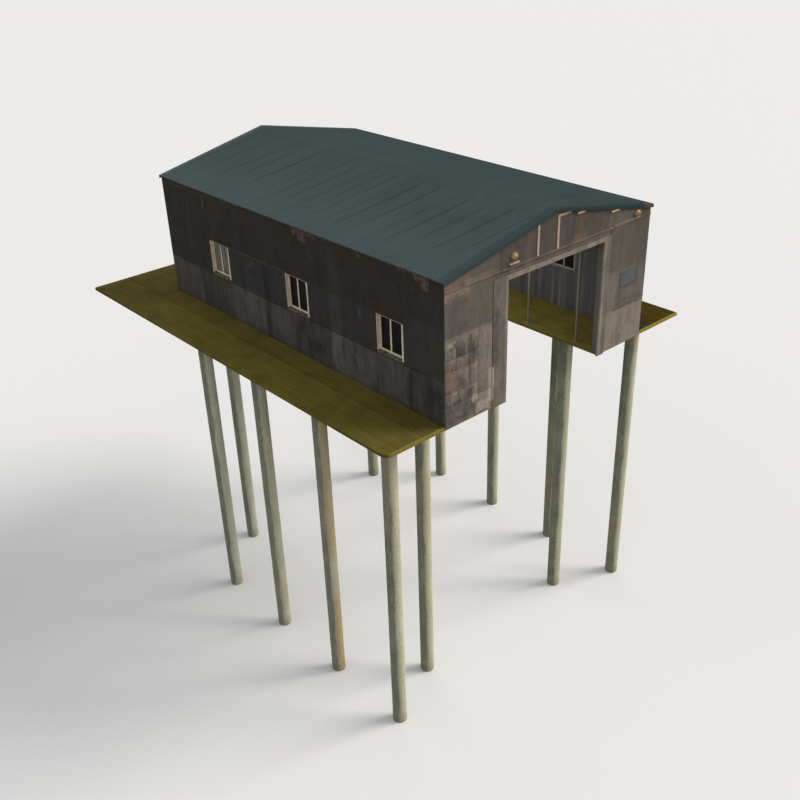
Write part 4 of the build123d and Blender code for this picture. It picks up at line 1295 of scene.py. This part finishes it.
class BOATHOUSE_OT_windows(bpy.types.Operator):
    """Lines the window reveals, sets bars and panes, beads them and boards the far window on the left"""

    bl_idname = "boathouse.windows"
    bl_label = "Windows"

    # Edges of each board, as shares of a light
    BOARDS = ((0.04, 0.37), (0.41, 0.65), (0.71, 0.97))

    def execute(self, context):
        house = context.scene.boathouse
        windows = house.windows
        rng = random.Random(31)
        sill = SILLS[1].z
        glass_low, glass_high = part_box("window_glass")
        recess = FRAMES[0].x - LEFT_X
        pane = glass_low.x - LEFT_X
        member = glass_low.z - sill
        back = recess + windows.depth
        bead = windows.bead
        bead_face = -recess - 0.008
        heights = (glass_low.z, glass_high.z)
        whole = (sill, HEAD_LINE)
        frames, panes, linings, beads, boards = [], [], [], [], []
        for face in (LEFT, RIGHT):
            for middle in window_places(face, windows):
                low = middle - windows.width / 2
                high = middle + windows.width / 2
                bar = middle + (windows.shift if face == LEFT else -windows.shift)
                for along, z_span in (
                    ((low, low + windows.stile), whole),
                    ((high, high - windows.lining), whole),
                    ((low, high), (HEAD_LINE - windows.lining, HEAD_LINE)),
                ):
                    linings.append(slab(face, along, z_span, house.walls.coat + 0.001, recess))
                for along, z_span in (
                    ((low, low + member), whole),
                    ((high - member, high), whole),
                    ((low + member, high - member), (sill, heights[0])),
                    ((low + member, high - member), (heights[1], HEAD_LINE)),
                    ((bar - member / 2, bar + member / 2), heights),
                ):
                    frames.append(slab(face, along, z_span, -recess, back))
                for first, last in ((low + member, bar - member / 2), (bar + member / 2, high - member)):
                    panes.append(slab(face, (first, last), heights, -pane, pane + windows.glass))
                    for along in ((first, first + bead), (last - bead, last)):
                        beads.append(slab(face, along, heights, bead_face, pane + 0.001))
                    for z in (heights[0], heights[1] - bead):
                        beads.append(slab(face, (first + bead, last - bead), (z, z + bead), bead_face, pane))
                    if face == LEFT and middle > 0:
                        light = last - first
                        for near_edge, far_edge in self.BOARDS:
                            along = (first + light * near_edge, first + light * far_edge)
                            out = bead_face - 0.010 - rng.random() * 0.008
                            boards.append(slab(face, along, heights, out, pane))
        settle(boxes("window_linings", linings, rng, 0.002), "window_paint", "window_paint")
        settle(boxes("window_bars", frames, rng, 0.003), "window_paint", "window_paint", "window_frames")
        settle(boxes("window_panes", panes, rng), "window_glass", "glass", "window_glass")
        settle(boxes("window_beads", beads, rng, 0.002), "window_paint", "bead")
        settle(boxes("window_boards", boards, rng, 0.002), "window_paint", "board")
        return {"FINISHED"}


# Deck


def board_edges(deck):
    """Edges of the board lines, from the left: one falls on the seam along each side."""
    seam = RIGHT_X + deck.seam
    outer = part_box("deck_right")[1].x
    strip = round((outer - seam) / deck.board)
    middle = round(2 * seam / deck.board)
    edges = [-outer + (outer - seam) * number / strip for number in range(strip)]
    edges += [-seam + 2 * seam * number / middle for number in range(middle)]
    return edges + [seam + (outer - seam) * number / strip for number in range(strip + 1)]


def deck_part(node, deck, edges, rng):
    """Boards of uneven lengths over one part of the deck, trimmed to its outline."""
    low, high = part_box(node)
    half = deck.gap / 2
    over = 0.1
    corners = []
    for first, last in zip(edges, edges[1:]):
        if last <= low.x + TOUCH or first >= high.x - TOUCH:
            continue
        y = low.y - rng.uniform(0, deck.length * 0.7)
        while y < high.y:
            long = deck.length * rng.uniform(0.7, 1.0)
            drop = rng.uniform(0.0, 0.003)
            near_corner = (first + half, max(y, low.y - over), low.z - over)
            far_corner = (last - half, min(y + long, high.y + over) - deck.gap, high.z - drop)
            if far_corner[1] > low.y + 0.01:
                corners.append((near_corner, far_corner))
            y += long
    boards = boxes(node + "_boards", corners, rng, 0.003)
    outline = own_copy(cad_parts[node], "outline")
    weld(outline)
    outward(outline)
    carve(boards, outline, "INTERSECT", False)
    return boards


class BOATHOUSE_OT_deck(bpy.types.Operator):
    """Lays the deck's boards, trimmed to its outline"""

    bl_idname = "boathouse.deck"
    bl_label = "Deck"

    def execute(self, context):
        deck = context.scene.boathouse.deck
        rng = random.Random(7)
        edges = board_edges(deck)
        for node in ("deck_left", "deck_right", "deck_back"):
            settle(deck_part(node, deck, edges, rng), "deck_boards", "deck_boards", node)
        return {"FINISHED"}


# Piles

# The master is modelled this many times too short, so that its hollows come out long
SQUASH = 7.0


def pile_master(piles):
    """One weathered pile on the Z axis, with a worn edge round its foot."""
    low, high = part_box("pile_left_1")
    radius = (high.x - low.x) / 2
    foot = piles.foot
    narrow = radius - foot
    pile = added(bpy.ops.mesh.primitive_circle_add, vertices=piles.sides, radius=narrow, fill_type="NGON")
    bpy.ops.object.mode_set(mode="EDIT")
    bpy.ops.mesh.select_all(action="SELECT")
    step = (high.z - foot) / piles.rings / SQUASH
    wide = radius / narrow
    for ring in range(piles.rings + 1):
        rise = step if ring else foot / SQUASH
        bpy.ops.mesh.extrude_region_move(TRANSFORM_OT_translate={"value": (0, 0, rise)})
        if not ring:
            bpy.ops.transform.resize(value=(wide, wide, 1), center_override=(0, 0, 0))
    bpy.ops.object.mode_set(mode="OBJECT")
    outward(pile)
    shaft = pile.vertex_groups.new(name="shaft")
    shaft.add([v.index for v in pile.data.vertices if v.co.z > foot / SQUASH * 0.5], 1.0, "REPLACE")
    roughen(pile, "hollows", 0.32, piles.hollows, 1.0, vertex_group="shaft")
    roughen(pile, "grain", 0.045, piles.grain, 1.0, vertex_group="shaft")
    pile.vertex_groups.clear()
    pile.data.transform(sized(1, 1, SQUASH))
    top = max(vertex.co.z for vertex in pile.data.vertices)
    pile.data.transform(sized(1, 1, high.z / top))
    smooth(pile)
    return pile


class BOATHOUSE_OT_piles(bpy.types.Operator):
    """Shapes one weathered pile and stands a turned copy in each pile's place"""

    bl_idname = "boathouse.piles"
    bl_label = "Piles"

    def execute(self, context):
        rng = random.Random(19)
        house = context.scene.boathouse
        master = pile_master(house.piles)
        sun = Vector((house.stage.sun[0], house.stage.sun[1], 0)).normalized()
        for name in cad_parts:
            if not name.startswith("pile_"):
                continue
            low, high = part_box(name)
            middle = (low + high) / 2
            pile = own_copy(master, "timber_" + name)
            turn = Matrix.Rotation(rng.uniform(0, math.tau), 4, "Z")
            pile.data.transform(Matrix.Translation((middle.x, middle.y, 0)) @ turn)
            # How far each point faces the key light, which the piles' finish paints as light and shade
            facing = [vertex.normal.dot(sun) for vertex in pile.data.vertices]
            pile.data.attributes.new("sunny", "FLOAT", "POINT").data.foreach_set("value", facing)
            settle(pile, "pile_timber", "pile_timber", name)
        bpy.data.objects.remove(master)
        return {"FINISHED"}


# Fittings

# Turns what faces up the Z axis to face down the Y axis
FORWARD = (math.pi / 2, 0, 0)
# Places of the lamps across the front, and how much wider they are than high
LAMPS = ((-1.72, 14.99), (3.61, 14.89))
OVAL = 1.3


def lamp_base(radius):
    """Round base with a rim, a guard ring, crossed bars and four screws, facing down the Y axis."""
    mesh = bpy.ops.mesh
    base = added(mesh.primitive_cylinder_add, vertices=40, radius=radius, depth=0.03, rotation=FORWARD,
                 location=(0, -0.015, 0))
    ease(base, 0.006, 2)
    ring = {"major_radius": radius * 0.8, "major_segments": 40}
    parts = [base, added(mesh.primitive_torus_add, minor_radius=0.008, minor_segments=10, rotation=FORWARD,
                         location=(0, -0.032, 0), **ring)]
    for turn in (45, -45):
        bar = added(mesh.primitive_torus_add, minor_radius=0.005, minor_segments=8, **ring)
        bar.data.transform(Matrix.Rotation(math.radians(turn), 4, "Y") @ sized(1, 0.88, 1))
        cut_off(bar, (0, -0.02, 0), (0, 1, 0))
        bar.data.transform(Matrix.Translation((0, -0.03, 0)))
        parts.append(bar)
    for x, z in ((1, 0), (0, 1), (-1, 0), (0, -1)):
        place = (x * radius * 0.91, -0.032, z * radius * 0.91)
        size = {"radius": 0.008, "depth": 0.008}
        parts.append(added(mesh.primitive_cylinder_add, vertices=6, rotation=FORWARD, location=place, **size))
    return joined(parts, "lamp_base")


def lamp_lens(radius):
    """Low dome, facing down the Y axis."""
    lens = added(bpy.ops.mesh.primitive_uv_sphere_add, segments=40, ring_count=20, radius=radius * 0.74,
                 rotation=FORWARD)
    cut_off(lens, (0, 0, 0), (0, 1, 0))
    lens.data.transform(Matrix.Translation((0, -0.028, 0)) @ sized(1, 0.93, 1))
    outward(lens)
    smooth(lens, 60)
    return lens


def bolt(width):
    """Hexagon head on a washer, facing up the Z axis."""
    parts = []
    for sides, radius, depth, z in ((20, width * 0.85, 0.003, 0.0015), (6, width / 2, 0.011, 0.0085)):
        parts.append(added(bpy.ops.mesh.primitive_cylinder_add, vertices=sides, radius=radius, depth=depth,
                           location=(0, 0, z)))
    ease(parts[1], 0.0015)
    return joined(parts, "bolt")


class BOATHOUSE_OT_fittings(bpy.types.Operator):
    """Makes the lamps, the bolts and the posts' feet"""

    bl_idname = "boathouse.fittings"
    bl_label = "Fittings"

    def execute(self, context):
        fittings = context.scene.boathouse.fittings
        rng = random.Random(3)
        places = [Matrix.Translation((x, FRONT_Y, z)) @ sized(OVAL, 1, 1) for x, z in LAMPS]
        base = spread("lamp_bodies", lamp_base(fittings.lamp_base), places, rng)
        smooth(base)
        settle(base, "lamp_housing", "housing", "lamps")
        lenses = spread("lamp_lenses", lamp_lens(fittings.lamp_base), places, rng)
        settle(lenses, "lamp_housing", "lamp_lens")
        # Bolts at the plate's corners, and on the feet of the posts along the slip's edge
        forward = Matrix.Rotation(math.pi / 2, 4, "X")
        inset = 0.05
        low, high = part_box("pier_plate")
        spots = []
        for x in (low.x + inset, high.x - inset):
            for z in (low.z + inset, high.z - inset):
                spots.append(Matrix.Translation((x, low.y, z)) @ forward)
        low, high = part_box("slip_posts")
        half_post = 0.04
        half = fittings.foot
        foot_top = DECK_Z + 0.01
        pitch = (high.y - low.y - 2 * half_post) / 6
        feet = []
        for x in (low.x + half_post, high.x - half_post):
            for number in range(7):
                y = low.y + half_post + pitch * number
                feet.append(((x - half, y - half, DECK_Z - 0.002), (x + half, y + half, foot_top)))
                for dx in (-0.055, 0.055):
                    for dy in (-0.055, 0.055):
                        spots.append(Matrix.Translation((x + dx, y + dy, foot_top)))
        settle(spread("bolts", bolt(fittings.bolt), spots, rng), "plate_metal", "plate")
        settle(boxes("post_feet", feet, rng, 0.002), "post_paint", "post_paint")
        return {"FINISHED"}


def seen(tree, lit, shown):
    """One colour for light, and another for what the camera sees, also in a mirror or through glass."""
    path = add(tree, "LightPath")
    ray = reckon(tree, "MAXIMUM", path["Is Camera Ray"], path["Is Glossy Ray"])
    ray = reckon(tree, "MAXIMUM", ray, path["Is Transmission Ray"])
    return add(tree, "Mix", {0: ray, 6: (*lit, 1), 7: (*shown, 1)}, data_type="RGBA")[2]


class BOATHOUSE_OT_stage(bpy.types.Operator):
    """Sets the floor, the soft light and the camera at the photograph's angle"""

    bl_idname = "boathouse.stage"
    bl_label = "Stage"

    def execute(self, context):
        stage = context.scene.boathouse.stage
        floor = added(bpy.ops.mesh.primitive_plane_add, size=stage.floor)
        floor.name = "floor"
        material = bpy.data.materials.new("floor")
        material.use_nodes = True
        tree = material.node_tree
        sockets = tree.nodes["Principled BSDF"].inputs
        sockets["Roughness"].default_value = 0.95
        sockets["Specular IOR Level"].default_value = 0.1
        feed(tree, sockets["Base Color"], seen(tree, (0.22, 0.22, 0.22), (0.74, 0.74, 0.74)))
        floor.data.materials.append(material)
        world = bpy.data.worlds.new("studio")
        world.use_nodes = True
        context.scene.world = world
        tree = world.node_tree
        sky = seen(tree, scaled((0.97, 0.98, 1.0), stage.sky), (0.853, 0.848, 0.835))
        feed(tree, tree.nodes["Background"].inputs["Color"], sky)
        bpy.ops.object.light_add(type="SUN", location=Vector(stage.sun) * 40)
        sun = context.object
        sun.name = "key_light"
        sun.rotation_euler = Vector(stage.sun).to_track_quat("Z", "Y").to_euler()
        sun.data.energy = stage.key
        sun.data.angle = math.radians(32)
        sun.data.color = (1.0, 0.96, 0.90)
        bpy.ops.object.light_add(type="AREA", location=(0.1, -1.5, stage.fill_height))
        fill = context.object
        fill.name = "inside_light"
        fill.data.shape = "RECTANGLE"
        fill.data.size = DOOR_RIGHT - DOOR_LEFT
        fill.data.size_y = 11.0
        fill.data.energy = stage.fill
        right = Vector(stage.right).normalized()
        back = -Vector(stage.ahead).normalized()
        up = back.cross(right).normalized()
        bpy.ops.object.camera_add()
        camera = context.object
        camera.name = "camera"
        camera.matrix_world = Matrix.Translation(stage.eye) @ Matrix((right, up, back)).transposed().to_4x4()
        camera.data.lens = stage.lens
        camera.data.sensor_width = 36
        camera.data.clip_end = 3000
        context.scene.camera = camera
        context.scene.view_settings.view_transform = "Standard"
        return {"FINISHED"}


class BOATHOUSE_PT_panel(bpy.types.Panel):
    """Lists the boathouse's operators"""

    bl_label = "Boathouse"
    bl_idname = "BOATHOUSE_PT_panel"
    bl_space_type = "VIEW_3D"
    bl_region_type = "UI"
    bl_category = "Boathouse"

    def draw(self, context):
        for operator in OPERATORS:
            self.layout.operator(operator.bl_idname)


OPERATORS = (
    BOATHOUSE_OT_finishes,
    BOATHOUSE_OT_roof,
    BOATHOUSE_OT_coats,
    BOATHOUSE_OT_stones,
    BOATHOUSE_OT_windows,
    BOATHOUSE_OT_deck,
    BOATHOUSE_OT_piles,
    BOATHOUSE_OT_fittings,
    BOATHOUSE_OT_stage,
)
CLASSES = (
    PileSettings,
    DeckSettings,
    RoofSettings,
    WallSettings,
    WindowSettings,
    FittingSettings,
    StageSettings,
    BoathouseSettings,
    *OPERATORS,
    BOATHOUSE_PT_panel,
)


def register():
    for item in CLASSES:
        bpy.utils.register_class(item)
    bpy.types.Scene.boathouse = PointerProperty(type=BoathouseSettings)


def unregister():
    del bpy.types.Scene.boathouse
    for item in reversed(CLASSES):
        bpy.utils.unregister_class(item)


def main():
    register()
    for operator in OPERATORS:
        group, name = operator.bl_idname.split(".")
        getattr(getattr(bpy.ops, group), name)()
    start()


if __name__ == "__main__":
    main()
